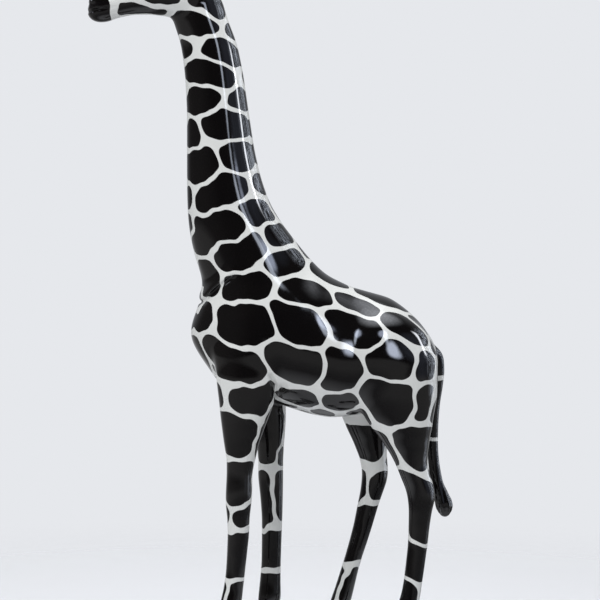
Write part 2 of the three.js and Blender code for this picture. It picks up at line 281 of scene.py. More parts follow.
# Patches on or near the middle plane: discs x, y, z, radius, moved to the nearest surface.
MIDDLE = (
    ((0, -166, 901, 22),),
    ((0, -168, 851, 20),),
    ((4, -152, 604, 31), (4, -140, 578, 29)),
    ((60, -112, 516, 19), (60, -106, 500, 15)),
    ((-58, -90, 512, 22), (-60, -80, 486, 18)),
    ((0, -146, 700, 12),),
    ((26, 84, 752, 20), (26, 112, 744, 23), (26, 138, 732, 18)),
    ((24, 180, 716, 17), (26, 206, 706, 24), (26, 232, 692, 24), (24, 254, 676, 17)),
    ((0, -52, 1141, 15),),
    ((0, -84, 1234, 12),),
    ((0, -190, 1392, 16), (0, -210, 1386, 15)),
    ((0, -252, 1362, 11), (0, -238, 1369, 12)),
    ((0, -292, 1328, 11), (0, -276, 1338, 11)),
    ((0, -128, 1364, 14), (0, -140, 1376, 12)),
)
# Patches on a leg: lower edge, upper edge, middle and half of the turn about the leg's axis in
# degrees, slope of both edges towards the front, and how far the lower edge's ends turn up.
# Turns run from 0 on the outside through 90 at the front and 180 on the inside to 270 at the
# back, and a half of 180 is a whole band.
LEG_PATCHES = {
    "front_left": (
        (387, 480, 34, 84, 0.15, 40),
        (372, 492, 214, 92, 0, 20),
        (298, 383, 17, 94, 0, 12),
        (304, 366, 152, 40, 0, 8),
        (296, 362, 238, 44, 0, 8),
        (251, 296, -46, 90, -0.35, 8),
        (262, 306, 96, 42, 0, 4),
        (248, 292, 180, 42, 0, 4),
        (158, 242, 0, 180, 0, 0),
        (92, 152, -34, 78, 0, 0),
        (92, 149, 88, 44, 0, 0),
        (92, 148, 186, 52, 0, 0),
        (PAD, 86, 0, 180, 0.1, 0),
    ),
    "front_right": (
        (365, 560, 150, 92, 0, 44),
        (392, 520, 282, 36, 0, 10),
        (380, 478, 10, 70, 0, 20),
        (234, 357, 122, 51, 0, 12),
        (250, 358, 236, 45, 0, 4),
        (300, 374, 0, 72, 0, 8),
        (240, 292, -4, 66, 0, 4),
        (158, 228, 0, 180, 0, 0),
        (86, 148, 0, 180, 0, 0),
        (PAD, 78, 0, 180, 0.1, 0),
    ),
    "rear_left": (
        (361, 446, -28, 77, 0, 22),
        (352, 444, 152, 96, 0, 20),
        (221, 356, 8, 104, 0.5, 10),
        (292, 344, 188, 72, 0, 6),
        (226, 284, 188, 72, 0, 6),
        (146, 216, 0, 180, 0.35, 0),
        (80, 138, 44, 88, 0.5, 0),
        (84, 134, -92, 40, 0, 0),
        (86, 134, 192, 50, 0, 0),
        (PAD, 76, 0, 180, 0.1, 0),
    ),
    "rear_right": (
        (373, 444, 149, 90, 0, 16),
        (347, 388, 272, 28, 0, 4),
        (398, 446, 276, 30, 0, 4),
        (362, 446, 0, 60, 0, 10),
        (286, 354, 96, 44, 0, 6),
        (289, 348, 219, 70, 0, 6),
        (286, 350, 0, 50, 0, 6),
        (166, 280, 0, 180, 0, 0),
        (84, 160, 88, 52, 0, 0),
        (84, 156, 214, 66, 0, 0),
        (84, 158, -24, 54, 0, 0),
        (PAD, 76, 0, 180, 0.1, 0),
    ),
}
LEG_CORNER = 22
# A leg's patches are laid out at their full size, so they spread less than the others.
SECTOR_HOLD = 3
# Bands round the tail, and the depth from the front of the muzzle that is black.
TAIL_BANDS = ((545, 612), (422, 535), (240, 414))
MUZZLE_CAP = -324


def row_shift():
    """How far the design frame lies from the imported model's frame, in millimetres."""
    low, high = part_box("front_left_foot_pad")
    middle = (low + high) / 2 / MM
    y = LEGS["front_left"][-1][0]
    return np.array((0, middle.y - y, 0))


SHIFT = row_shift()


# The shape: each limb is a field of signed distances, and the body is their smooth union.


def leg_stations(name):
    """A leg's stations with x filled in, on the side that its name gives."""
    side = 1 if name.endswith("left") else -1
    rows = LEGS[name]
    top = rows[0][1]
    made = []
    for y, z, deep, wide in rows:
        share = min(1, (top - z) / (top - STRAIGHT_BELOW))
        made.append((side * (HIP_X + (HOOF_X - HIP_X) * share), y, z, deep, wide))
    return made


# How far from its middle a ring's egg shape grows, and the least radius a distance is scaled by.
EGG_REACH = 150
THINNEST = 4


def smooth_table(stations, axis, spread):
    """Looks up x, centre, depth squared and aspect at each millimetre along an axis, smoothed."""
    rows = np.array(sorted(stations, key=lambda s: s[axis]), float)
    along = rows[:, axis]
    across = 3 - axis
    columns = np.stack([rows[:, 0], rows[:, across], rows[:, 3] ** 2, rows[:, 3] / rows[:, 4]], 1)
    reach = 90
    first, last = along[0], along[-1]
    head = columns[0] - (columns[1] - columns[0]) * reach / (along[1] - first)
    tail = columns[-1] + (columns[-1] - columns[-2]) * reach / (last - along[-2])
    head[3], tail[3] = columns[0, 3], columns[-1, 3]
    head[2] = min(head[2], -columns[0, 2] * reach / CLOSING)
    tail[2] = min(tail[2], -columns[-1, 2] * reach / CLOSING)
    along = np.concatenate([[first - reach], along, [last + reach]])
    columns = np.vstack([head, columns, tail])
    places = np.arange(first - reach, last + reach, 1.0)
    dense = np.stack([np.interp(places, along, column) for column in columns.T], 1)
    steps = np.arange(-4 * spread, 4 * spread + 1)
    weights = np.exp(-0.5 * (steps / spread) ** 2)
    weights /= weights.sum()
    padded = np.pad(dense, ((len(steps) // 2,) * 2, (0, 0)), mode="edge")
    smooth = np.stack([np.convolve(column, weights, "valid") for column in padded.T], 1)
    return places[0], np.hstack([smooth, np.gradient(smooth, axis=0)])


def limb_field(stations, axis, spread, egg=0.0):
    """Signed distance to a limb whose elliptical rings all stand square to one axis."""
    start, table = smooth_table(stations, axis, spread)

    def field(p):
        place = np.clip(p[:, axis] - start, 0, len(table) - 1.001)
        index = place.astype(int)
        part = (place - index)[:, None]
        row = table[index] * (1 - part) + table[index + 1] * part
        x, centre, square, aspect, d_x, d_centre, d_square, _ = row.T
        across = p[:, 3 - axis] - centre
        side = (p[:, 0] - x) * aspect / (1 + egg * np.clip(across / EGG_REACH, -1, 1))
        value = side**2 + across**2 - square
        slope = -2 * side * aspect * d_x - 2 * across * d_centre - d_square
        norm = np.sqrt((2 * side * aspect) ** 2 + (2 * across) ** 2 + slope**2)
        return value / np.maximum(norm, np.sqrt(np.maximum(square, THINNEST**2)))

    return field


def chain_field(points, radii):
    """Signed distance to a string of round cones between points."""
    points = np.array(points, float)
    radii = np.array(radii, float)

    def field(p):
        best = np.full(len(p), 1e3)
        for a, b, ra, rb in zip(points, points[1:], radii, radii[1:]):
            span = b - a
            share = np.clip((p - a) @ span / (span @ span), 0, 1)
            away = np.linalg.norm(p - a - share[:, None] * span, axis=1)
            best = np.minimum(best, away - (ra + (rb - ra) * share))
        return best

    return field


def egg_field(centre, radii):
    """Signed distance to an ellipsoid."""
    centre = np.array(centre, float)
    radii = np.array(radii, float)

    def field(p):
        unit = (p - centre) / radii
        near = np.linalg.norm(unit, axis=1)
        steep = np.linalg.norm(unit / radii, axis=1)
        return near * (near - 1) / np.maximum(steep, 1e-6)

    return field


def swollen(field, swellings, fade=60):
    """The same limb with soft swellings and hollows on both its sides.

    Each has its y and z, its spread along y and along z, and its height. It fades out over the
    given distance from the middle plane.
    """

    def swell(p):
        total = field(p)
        share = np.clip(np.abs(p[:, 0]) / fade, 0, 1)
        for y, z, long, tall, height in swellings:
            away = ((p[:, 1] - y) / long) ** 2 + ((p[:, 2] - z) / tall) ** 2
            total -= share * height * np.exp(-away / 2)
        return total

    return swell


# The tuft's hair: height where it starts and length over which it deepens, the same at its end,
# strands round the tail, millimetres of height for one radian of twist, and depth.
HAIR = {"top": 345, "fade": 40, "end": 264, "end_fade": 12, "strands": 7, "twist": 14, "depth": 1.1}


def tail_field():
    """Signed distance to the tail, with the tuft's hair as shallow grooves along it."""
    line = smooth_line(TAIL, 60)
    chain = chain_field(line[:, :3], line[:, 3])
    down = line[::-1]

    def field(p):
        middle = np.interp(p[:, 2], down[:, 2], down[:, 1])
        turn = np.arctan2(p[:, 0], p[:, 1] - middle)
        share = np.clip((HAIR["top"] - p[:, 2]) / HAIR["fade"], 0, 1)
        share = share * np.clip((p[:, 2] - HAIR["end"]) / HAIR["end_fade"], 0, 1)
        strand = np.cos(HAIR["strands"] * turn + p[:, 2] / HAIR["twist"])
        return chain(p) + HAIR["depth"] * share * strand

    return field


def smooth_line(points, count):
    """Points along a smooth curve through points, by cubic interpolation of each coordinate."""
    points = np.array(points, float)
    spans = np.linalg.norm(np.diff(points[:, :3], axis=0), axis=1)
    along = np.concatenate([[0], np.cumsum(spans)])
    slopes = np.gradient(points, along, axis=0)
    places = np.linspace(0, along[-1], count)
    index = np.clip(np.searchsorted(along, places) - 1, 0, len(points) - 2)
    span = (along[index + 1] - along[index])[:, None]
    t = (places - along[index])[:, None] / span
    a, b = points[index], points[index + 1]
    ma, mb = slopes[index] * span, slopes[index + 1] * span
    return (
        (2 * t**3 - 3 * t**2 + 1) * a
        + (t**3 - 2 * t**2 + t) * ma
        + (3 * t**2 - 2 * t**3) * b
        + (t**3 - t**2) * mb
    )


def blend(a, b, reach):
    """The smooth union of two distances, filleted over reach."""
    h = np.maximum(reach - np.abs(a - b), 0) / reach
    return np.minimum(a, b) - h * h * reach / 4


def carve(a, b, reach):
    """The first solid with the second smoothly cut away."""
    return -blend(-a, b, reach)


def both_sides(make):
    """The union of a field's two mirrored copies, from one for the left side."""
    return lambda p: make(np.stack([np.abs(p[:, 0]), p[:, 1], p[:, 2]], 1))


# The torso's soft forms: the hollow before the haunch, the shoulder and the hollow behind it.
MUSCLES = (
    (160, 560, 22, 45, -2),
    (-62, 640, 32, 50, 3),
    (-8, 590, 24, 50, -3),
)
HAUNCH = ((67, 208, 600), (41, 54, 62))
# Creases: a path of y and z on both sides, its half width and its depth, or its height below 0.
CREASES = (
    (((-86, 742), (-106, 727), (-124, 709), (-137, 696)), 3.4, 4.2),
    (((-84, 754), (-102, 740), (-121, 724), (-134, 710)), 7, -4),
    (((-10, 552), (0, 532), (3, 508)), 3.2, 6),
    (((14, 528), (15, 527)), 5, 5),
)


# Each limb's field is used this far beyond its stations and their radii.
LIMB_ROOM = 60


@functools.cache
def limbs():
    """Each limb as name, field, blend reach and the box that its field is used in."""
    made = [
        ("torso", swollen(limb_field(TORSO, 1, 9, -0.16), MUSCLES), 30, TORSO),
        ("neck", limb_field(NECK, 2, 14), 44, NECK),
    ]
    for name in LEG_NAMES:
        stations = leg_stations(name)
        made.append((name, limb_field(stations, 2, 7), 16, stations))
    haunch = both_sides(egg_field(*HAUNCH))
    (x, y, z), _ = HAUNCH
    made.append(("haunch", haunch, 30, [(side * x, y, z, 60, 60) for side in (1, -1)]))
    made.append(("head", limb_field(HEAD, 1, 6), 16, HEAD))
    made.append(("tail", tail_field(), 8, [(*t, t[3]) for t in TAIL]))
    boxed = []
    for name, field, reach, stations in made:
        rows = np.array(stations, float)
        grow = rows[:, 3:5].max() + LIMB_ROOM
        low = rows[:, :3].min(0) - grow
        high = rows[:, :3].max(0) + grow
        boxed.append((name, field, reach, low, high))
    return boxed


@functools.cache
def head_details():
    """Small forms added to the head and cut from it: cut or added, field and blend reach."""
    cheek = egg_field((26, -196, 1306), (17, 44, 30))
    brow = chain_field(((34, -228, 1352), (40, -208, 1364), (36, -184, 1366)), (6, 8, 6))
    ball = egg_field((35, -206, 1347), (15, 17, 14))
    lid = chain_field(
        ((42, -226, 1343), (48, -216, 1354), (50, -206, 1358), (47, -195, 1355), (42, -187, 1347)),
        (2.5, 3.5, 4, 3.5, 2.5),
    )
    pouch = chain_field(
        ((42, -224, 1339), (47, -212, 1333), (46, -200, 1333), (42, -189, 1340)),
        (2, 3, 3, 2),
    )
    lip = egg_field((0, -338, 1265), (19, 20, 12))
    nose = egg_field((13, -343, 1291), (11, 16, 10))
    nostril = egg_field((19, -352, 1293), (5, 6, 3.5))
    mouth = chain_field(
        ((0, -364, 1268), (16, -357, 1268), (25, -340, 1270), (28, -322, 1272), (28, -308, 1275)),
        (2.2, 2.2, 2.0, 1.6, 1.0),
    )
    return [
        (False, both_sides(cheek), 22),
        (False, both_sides(brow), 12),
        (False, both_sides(ball), 5),
        (False, both_sides(lid), 4),
        (False, both_sides(pouch), 5),
        (False, lip, 10),
        (False, both_sides(nose), 9),
        (True, both_sides(nostril), 3),
        (True, both_sides(mouth), 4),
    ]


@functools.cache
def crease_fields():
    """Each crease as its distance in the middle plane, half width and depth."""
    made = []
    for path, half, deep in CREASES:
        points = [(0, y, z) for y, z in path]
        made.append((chain_field(points, (0,) * len(points)), half, deep))
    return made


@functools.cache
def hoof_grooves():
    """The cleft in the front of each hoof, as a field to cut away."""
    made = []
    for name in LEG_NAMES:
        x, y, z, deep, _ = leg_stations(name)[-1]
        low = (x, y - deep - 3, z - 6)
        high = (x, y - deep + 9, z + 34)
        made.append(chain_field((low, high), (4.5, 1.5)))
    return made


def inside_box(p, low, high):
    """Which points lie in a box."""
    return np.all((p > low) & (p < high), axis=1)


# Where the body's details are worked out: the creases' box and how near the surface, the height
# that the head starts from and the height that the hooves end at. Nothing counts as further away
# than FAR.
CREASE_BOX = ((-110, -150, 480), (110, 40, 770))
CREASE_REACH = 20
HEAD_FROM = 1225
HOOVES_BELOW = 60
FAR = 200.0


def body(p):
    """Signed distance from each point to the whole casting, in millimetres."""
    total = np.full(len(p), FAR)
    for _, field, reach, low, high in limbs():
        near = inside_box(p, low, high)
        if near.any():
            total[near] = blend(total[near], field(p[near]), reach)
    near = inside_box(p, *CREASE_BOX) & (np.abs(total) < CREASE_REACH)
    if near.any():
        flat = p[near] * (0, 1, 1)
        for field, half, deep in crease_fields():
            total[near] += deep * np.exp(-((field(flat) / half) ** 2) / 2)
    near = p[:, 2] > HEAD_FROM
    if near.any():
        part, value = p[near], total[near]
        for cut, field, reach in head_details():
            value = carve(value, field(part), reach) if cut else blend(value, field(part), reach)
        total[near] = value
    near = p[:, 2] < HOOVES_BELOW
    if near.any():
        part, value = p[near], total[near]
        for field in hoof_grooves():
            value = carve(value, field(part), 4)
        total[near] = -blend(-value, part[:, 2] - PAD, 3)
    return total


def slope_of(p, step=0.9):
    """The field's gradient at each point, by central differences."""
    made = np.empty_like(p)
    for axis in range(3):
        move = np.zeros(3)
        move[axis] = step
        made[:, axis] = (body(p + move) - body(p - move)) / (2 * step)
    return made


def onto_surface(p, rounds=3, along=None):
    """Moves points onto the surface, each within the plane square to along where one is given."""
    for _ in range(rounds):
        slope = slope_of(p)
        if along is not None:
            slope -= along * np.sum(slope * along, axis=1, keepdims=True)
        size = np.maximum(np.sum(slope**2, axis=1), 0.05)
        step = np.clip(body(p) / size, -6, 6)
        p = p - slope * step[:, None]
    return p


# The skin: a net of quads over the surface.


# The box that holds the whole casting, the cells along one side of a coarse block, how many cells
# from the surface the fine grid reaches, and how many points are worked out at once.
GRID_BOX = ((-140, -385, -12), (140, 400, 1420))
BLOCK = 4
GRID_REACH = 7
GRID_CHUNK = 400000
CORNERS = tuple(itertools.product((0, 1), repeat=3))


def window(grid, corner, size):
    """The part of a grid that starts at a corner and has a given size."""
    return grid[tuple(slice(start, start + count) for start, count in zip(corner, size))]


def in_blocks(grid):
    """The same grid with each value filling a whole block."""
    for axis in range(3):
        grid = np.repeat(grid, BLOCK, axis)
    return grid


def field_grid(cell):
    """The body's distances on a grid, worked out finely near the surface only."""
    low, high = np.array(GRID_BOX, float)
    blocks = np.ceil((high - low) / (cell * BLOCK)).astype(int)
    coarse_axes = [low[i] + np.arange(blocks[i] + 1) * cell * BLOCK for i in range(3)]
    coarse = np.stack(np.meshgrid(*coarse_axes, indexing="ij"), -1)
    value = body(coarse.reshape(-1, 3)).reshape(coarse.shape[:3])
    near = np.abs(value) < GRID_REACH * cell
    active = np.logical_or.reduce([window(near, corner, blocks) for corner in CORNERS])
    counts = blocks * BLOCK + 1
    fine = window(in_blocks(value), (0, 0, 0), counts).copy()
    wanted = np.zeros(counts, bool)
    spread = in_blocks(active)
    for corner in CORNERS:
        part = window(wanted, corner, spread.shape)
        part |= spread
    where = np.argwhere(wanted)
    for start in range(0, len(where), GRID_CHUNK):
        chunk = where[start : start + GRID_CHUNK]
        fine[tuple(chunk.T)] = body(low + chunk * cell)
    return fine, low


def surface_net(values, low, cell):
    """Quads round the zero level of a grid of distances, one point in each cell that it crosses."""
    inside = values < 0
    shape = np.array(values.shape)
    cells, sums, loops = [], [], []
    for axis in range(3):
        others = [a for a in range(3) if a != axis]
        ahead = np.roll(inside, -1, axis)
        change = inside != ahead
        keep = [slice(1, -1)] * 3
        keep[axis] = slice(0, -1)
        mask = np.zeros_like(change)
        mask[tuple(keep)] = change[tuple(keep)]
        edge = np.argwhere(mask)
        step = np.zeros(3, int)
        step[axis] = 1
        a = values[tuple(edge.T)]
        b = values[tuple((edge + step).T)]
        place = edge + np.outer(a / (a - b), step)
        loop = []
        for u, v in ((0, 0), (1, 0), (1, 1), (0, 1)):
            cell_at = edge.copy()
            cell_at[:, others[0]] -= 1 - u
            cell_at[:, others[1]] -= 1 - v
            number = np.ravel_multi_index(cell_at.T, shape)
            loop.append(number)
            cells.append(number)
            sums.append(place)
        quad = np.stack(loop, 1)
        flip = (a < 0) == (axis == 1)
        quad[flip] = quad[flip][:, ::-1]
        loops.append(quad)
    cells = np.concatenate(cells)
    sums = np.concatenate(sums)
    used, index = np.unique(cells, return_inverse=True)
    count = np.bincount(index)
    points = np.stack([np.bincount(index, sums[:, i]) / count for i in range(3)], 1)
    quads = np.searchsorted(used, np.concatenate(loops))
    return low + points * cell, quads


def relaxed(points, quads):
    """Each point moved to the middle of its neighbours."""
    pairs = np.concatenate([quads[:, (i, (i + 1) % 4)] for i in range(4)])
    total = np.zeros_like(points)
    for i in range(3):
        total[:, i] = np.bincount(pairs[:, 0], points[pairs[:, 1], i], len(points))
    count = np.bincount(pairs[:, 0], minlength=len(points))
    return total / count[:, None]


PIECES = ("torso_left_shell", "torso_right_shell", "neck_shell", "head_shell", "tail") + tuple(
    name + "_leg" for name in LEG_NAMES
)


# The y that parts the front legs from the rear ones.
MID_BODY = 110
# The tail's casting is what lies on its own skin, and behind the first y, or below the height,
# behind the second y and near the middle plane.
TAIL_SKIN = 3
TAIL_BEHIND = 333
TAIL_BELOW = 560
TAIL_CLEAR = 315
TAIL_HALF = 20


def piece_of(centres):
    """The number of the casting that each quad belongs to, by its centre."""
    x, y, z = centres.T
    tilt = HEAD_CUT["tilt"]
    over_head_cut = -math.sin(tilt) * (y - HEAD_CUT["y"]) + math.cos(tilt) * (z - HEAD_CUT["z"])
    piece = np.where(x > 0, PIECES.index("torso_left_shell"), PIECES.index("torso_right_shell"))
    piece[z > NECK_CUT] = PIECES.index("neck_shell")
    piece[(z > NECK_CUT) & (over_head_cut > 0)] = PIECES.index("head_shell")
    below = z < LEG_CUT
    front = y < MID_BODY
    for name in LEG_NAMES:
        side = (x > 0) if name.endswith("left") else (x < 0)
        end = front if name.startswith("front") else ~front
        piece[below & side & end] = PIECES.index(name + "_leg")
    tail = limbs()[-1][1]
    clear = (y > TAIL_BEHIND) | ((z < TAIL_BELOW) & (y > TAIL_CLEAR) & (np.abs(x) < TAIL_HALF))
    piece[(tail(centres) < TAIL_SKIN) & clear] = PIECES.index("tail")
    return piece


def flatten_seams(points, quads, piece):
    """Moves the points on each flat seam into its plane, so that the castings part cleanly."""
    tilt = HEAD_CUT["tilt"]
    head_way = (0, -math.sin(tilt), math.cos(tilt))
    head_height = head_way[1] * HEAD_CUT["y"] + head_way[2] * HEAD_CUT["z"]
    left, right, neck, head, _, *legs = range(len(PIECES))
    planes = (
        ({left, right}, (1, 0, 0), 0),
        ({left, neck}, (0, 0, 1), NECK_CUT),
        ({right, neck}, (0, 0, 1), NECK_CUT),
        ({neck, head}, head_way, head_height),
        *(({torso, leg}, (0, 0, 1), LEG_CUT) for torso in (left, right) for leg in legs),
    )
    for pair, normal, height in planes:
        touched = []
        for number in pair:
            mark = np.zeros(len(points), bool)
            mark[quads[piece == number].ravel()] = True
            touched.append(mark)
        shared = touched[0] & touched[1]
        normal = np.array(normal, float)
        part = points[shared]
        part += np.outer(height - part @ normal, normal)
        points[shared] = onto_surface(part, 2, normal)
    return points


@functools.cache
def whole_skin(cell):
    """Points, normals, quads and each quad's casting, for the whole body."""
    points, quads = surface_net(*field_grid(cell), cell)
    points = onto_surface(points, 2)
    for _ in range(2):
        points = onto_surface(relaxed(points, quads), 1)
    piece = piece_of(points[quads].mean(1))
    points = flatten_seams(points, quads, piece)
    slope = slope_of(points)
    normals = slope / np.linalg.norm(slope, axis=1, keepdims=True)
    return points, normals, quads, piece


# The paint: black patches that push each other apart, with a white line left between them.

# Level rays from the left start this far out.
RAY_START = 150
RAY_STEP = 1.5
# The line down the front, where both sides' patches meet, is painted this far to the right.
OFF_MIDDLE = 10
# The skin's cell where gaps are looked for, the distance to the patches round it that makes a gap
# wide enough on the body and on the head, the largest radius of a disc put in it, and the room
# kept for a line. A second disc lies within a span of distances from the first.
GAP_GRID = 9.0
GAP_LEAST = 19
HEAD_GAP_LEAST = 14
GAP_MOST = 24
LINE_ROOM = 8
SECOND_SPAN = (10, 30)
# How far a patch spreads beyond its discs where no other patch stops it.
GROWTH = 5
# Over what distance a patch's discs flow together, and corners between patches are rounded.
DISC_FLOW = 2.5
CORNER_FLOW = 6
# The wavelengths of the waver in the painted edges, and the slant of its waves.
WAVER_LENGTHS = (66.0, 43.0, 28.0)
WAVER_SLANT = (1.0, 0.62, 0.37)
# How many of the nearest patches shape an edge, and how many points are painted at once.
NEAREST = 6
PAINT_CHUNK = 20000


def first_hit(starts, way, reach):
    """Where rays first enter the casting; rays that miss it end at their nearest point."""
    steps = np.arange(0, reach, RAY_STEP)
    way = np.array(way, float)
    places = starts[:, None, :] + steps[None, :, None] * way
    values = body(places.reshape(-1, 3)).reshape(places.shape[:2])
    entered = values < 0
    index = np.where(entered.any(1), entered.argmax(1), values.argmin(1))
    return onto_surface(places[np.arange(len(starts)), index], 3)


def leg_axis(name):
    """A function from height to a leg's centre."""
    rows = np.array(sorted(leg_stations(name), key=lambda s: s[2]), float)
    return lambda z: np.stack([np.interp(z, rows[:, 2], rows[:, i]) for i in (0, 1)], -1)


def threaded(rows):
    """Discs with two more between each and the next, so that a row of them reads as one shape."""
    rows = np.array(rows, float)
    places = np.linspace(0, len(rows) - 1, 3 * len(rows) - 2)
    return np.stack([np.interp(places, np.arange(len(rows)), column) for column in rows.T], 1)


def side_patch(patch, side):
    """One patch on the left for side 1, or mirrored to the right for -1.

    A disc of three values is found by a level ray, and one of four is given in full.
    """
    flat = threaded([disc for disc in patch if len(disc) == 3])
    starts = np.stack([np.full(len(flat), RAY_START), flat[:, 0], flat[:, 1]], 1)
    rows = np.hstack([first_hit(starts, (-1, 0, 0), RAY_START), flat[:, 2:]])
    full = [(disc[0] - side * OFF_MIDDLE, *disc[1:]) for disc in patch if len(disc) == 4]
    if full:
        rows = np.vstack([rows, middle_patch(full)])
    rows[:, 0] *= side
    return rows


def middle_patch(patch):
    """One patch whose discs are given in full and moved to the nearest surface."""
    rows = threaded(patch)
    return np.hstack([onto_surface(rows[:, :3], 6), rows[:, 3:]])


def nudged(group, seed, far):
    """The same patches, each moved a little, for the side that isn't a copy."""
    random = np.random.default_rng(seed)
    made = []
    for patch in group:
        move = random.uniform(-far, far, 2)
        made.append([(*disc[:-3], disc[-3] + move[0], disc[-2] + move[1], disc[-1]) for disc in patch])
    return made


def drawn_patches():
    """Every patch that is listed, as arrays of x, y, z and radius."""
    made = [side_patch(patch, 1) for patch in FLANK + NECK_SIDE + HEAD_SIDE]
    right = nudged(FLANK, seed=3, far=7) + nudged(NECK_SIDE, seed=5, far=9)
    made += [side_patch(patch, -1) for patch in right]
    made += [side_patch(patch, -1) for patch in HEAD_SIDE]
    made += [middle_patch(patch) for patch in MIDDLE]
    return made


@functools.cache
def patches():
    """The laid out patches, and more in each gap between them that is wide enough for one."""
    made = drawn_patches()
    points, *_ = whole_skin(GAP_GRID)
    points = points[points[:, 2] > PAD + 1]
    away = limb_distances(points).min(1)
    for patch in made:
        away = np.minimum(away, disc_distance(points, patch))
    least = np.where(points[:, 2] > HEAD_CUT["z"] + 25, HEAD_GAP_LEAST, GAP_LEAST)
    while (away - least).max() > 0:
        seed = (away - least).argmax()
        discs = [(*points[seed], min(away[seed] - LINE_ROOM, GAP_MOST))]
        reach = np.linalg.norm(points - points[seed], axis=1)
        beside = np.where((reach > SECOND_SPAN[0]) & (reach < SECOND_SPAN[1]), away, 0)
        if beside.max() > least[seed] - 2:
            next_seed = beside.argmax()
            discs.append((*points[next_seed], min(away[next_seed] - LINE_ROOM, GAP_MOST)))
        patch = threaded(discs) if len(discs) > 1 else np.array(discs)
        made.append(patch)
        away = np.minimum(away, disc_distance(points, patch))
    return made


def disc_distance(p, patch):
    """Distance from points to a patch's discs."""
    away = np.linalg.norm(p[:, None] - patch[None, :, :3], axis=2) - patch[:, 3]
    return soft_least(away, DISC_FLOW)


def sector_distance(p, name, patch, skin):
    """Distance from points to one patch on a leg, whose corners are round."""
    low, high, middle, half, slope, bow = patch
    side = 1 if name.endswith("left") else -1
    centre = leg_axis(name)(p[:, 2])
    out = (p[:, 0] - centre[:, 0]) * side
    ahead = centre[:, 1] - p[:, 1]
    height = p[:, 2] - slope * ahead
    turn = np.degrees(np.arctan2(ahead, out)) - middle
    turn = np.abs((turn + 180) % 360 - 180)
    low = low + bow * np.minimum(turn / half, 1) ** 2
    up = np.maximum(low - height, height - high)
    away = up
    if half < 180:
        round_leg = np.radians(turn - half) * np.hypot(out, ahead)
        a = up + LEG_CORNER
        b = round_leg + LEG_CORNER
        outside = np.hypot(np.maximum(a, 0), np.maximum(b, 0))
        away = np.minimum(np.maximum(a, b), 0) + outside - LEG_CORNER
    return away + SECTOR_HOLD + 1.5 * np.maximum(skin - 3, 0)


def limb_distances(p):
    """Distance to each patch on a leg, to each band round the tail and to the muzzle's cap."""
    made = []
    fields = {name: field for name, field, *_ in limbs()}
    for name, group in LEG_PATCHES.items():
        skin = fields[name](p)
        made += [sector_distance(p, name, patch, skin) for patch in group]
    skin = fields["tail"](p)
    off = 2 * np.maximum(skin - 2, 0) + 2 * np.maximum(318 - p[:, 1], 0)
    made += [np.maximum(low - p[:, 2], p[:, 2] - high) + off for low, high in TAIL_BANDS]
    muzzle = p[:, 1] - MUZZLE_CAP + 0.25 * (p[:, 2] - 1275)
    made.append(muzzle + 4 * np.maximum(1200 - p[:, 2], 0))
    return np.stack(made, 1)


def waver(p, far):
    """Points moved by a slow random wave, so that no painted edge runs straight."""
    wave = np.zeros_like(p)
    for turn, length in enumerate(WAVER_LENGTHS):
        for axis in range(3):
            phase = p @ np.roll(WAVER_SLANT, axis + turn) / length * math.tau
            wave[:, axis] += np.sin(phase + 1.7 * axis + turn) / (turn + 1)
    return p + far * wave


def paint(p, line, far):
    """Distance in millimetres into the black at each point, below zero on the white lines."""
    every = patches()
    edge = np.empty(len(p))
    for start in range(0, len(p), PAINT_CHUNK):
        part = waver(p[start : start + PAINT_CHUNK], far)
        discs = np.stack([disc_distance(part, patch) for patch in every], 1)
        away = np.hstack([discs, limb_distances(part)])
        order = np.argsort(away, axis=1)[:, :NEAREST]
        least = np.take_along_axis(away, order, 1)
        rest = soft_least(least[:, 1:], CORNER_FLOW)
        between = (rest - least[:, 0] - line) / 2
        edge[start : start + PAINT_CHUNK] = blend(between, GROWTH - least[:, 0], CORNER_FLOW)
    return edge


def soft_least(values, reach):
    """A smooth stand-in for the least value in each row."""
    low = values.min(axis=1, keepdims=True)
    return low[:, 0] - reach * np.log(np.exp(-(values - low) / reach).sum(axis=1))


# Materials.


def linear(colour):
    """An sRGB hex colour as linear red, green, blue and alpha."""
    channels = [int(colour[i : i + 2], 16) / 255 for i in (1, 3, 5)]
    return (*[c / 12.92 if c <= 0.04045 else ((c + 0.055) / 1.055) ** 2.4 for c in channels], 1.0)


def add_node(tree, kind, links=(), **settings):
    """Adds a node, sets its values and inputs, and links sockets to its inputs."""
    node = tree.nodes.new(kind)
    for name, value in settings.items():
        if hasattr(node, name):
            setattr(node, name, value)
        else:
            node.inputs[name.replace("_", " ")].default_value = value
    for name, socket in dict(links).items():
        tree.links.new(socket, node.inputs[name])
    return node


def new_material(name):
    """An empty material, its tree and its shader."""
    material = bpy.data.materials.new(name)
    material.use_nodes = True
    tree = material.node_tree
    return material, tree, tree.nodes["Principled BSDF"]


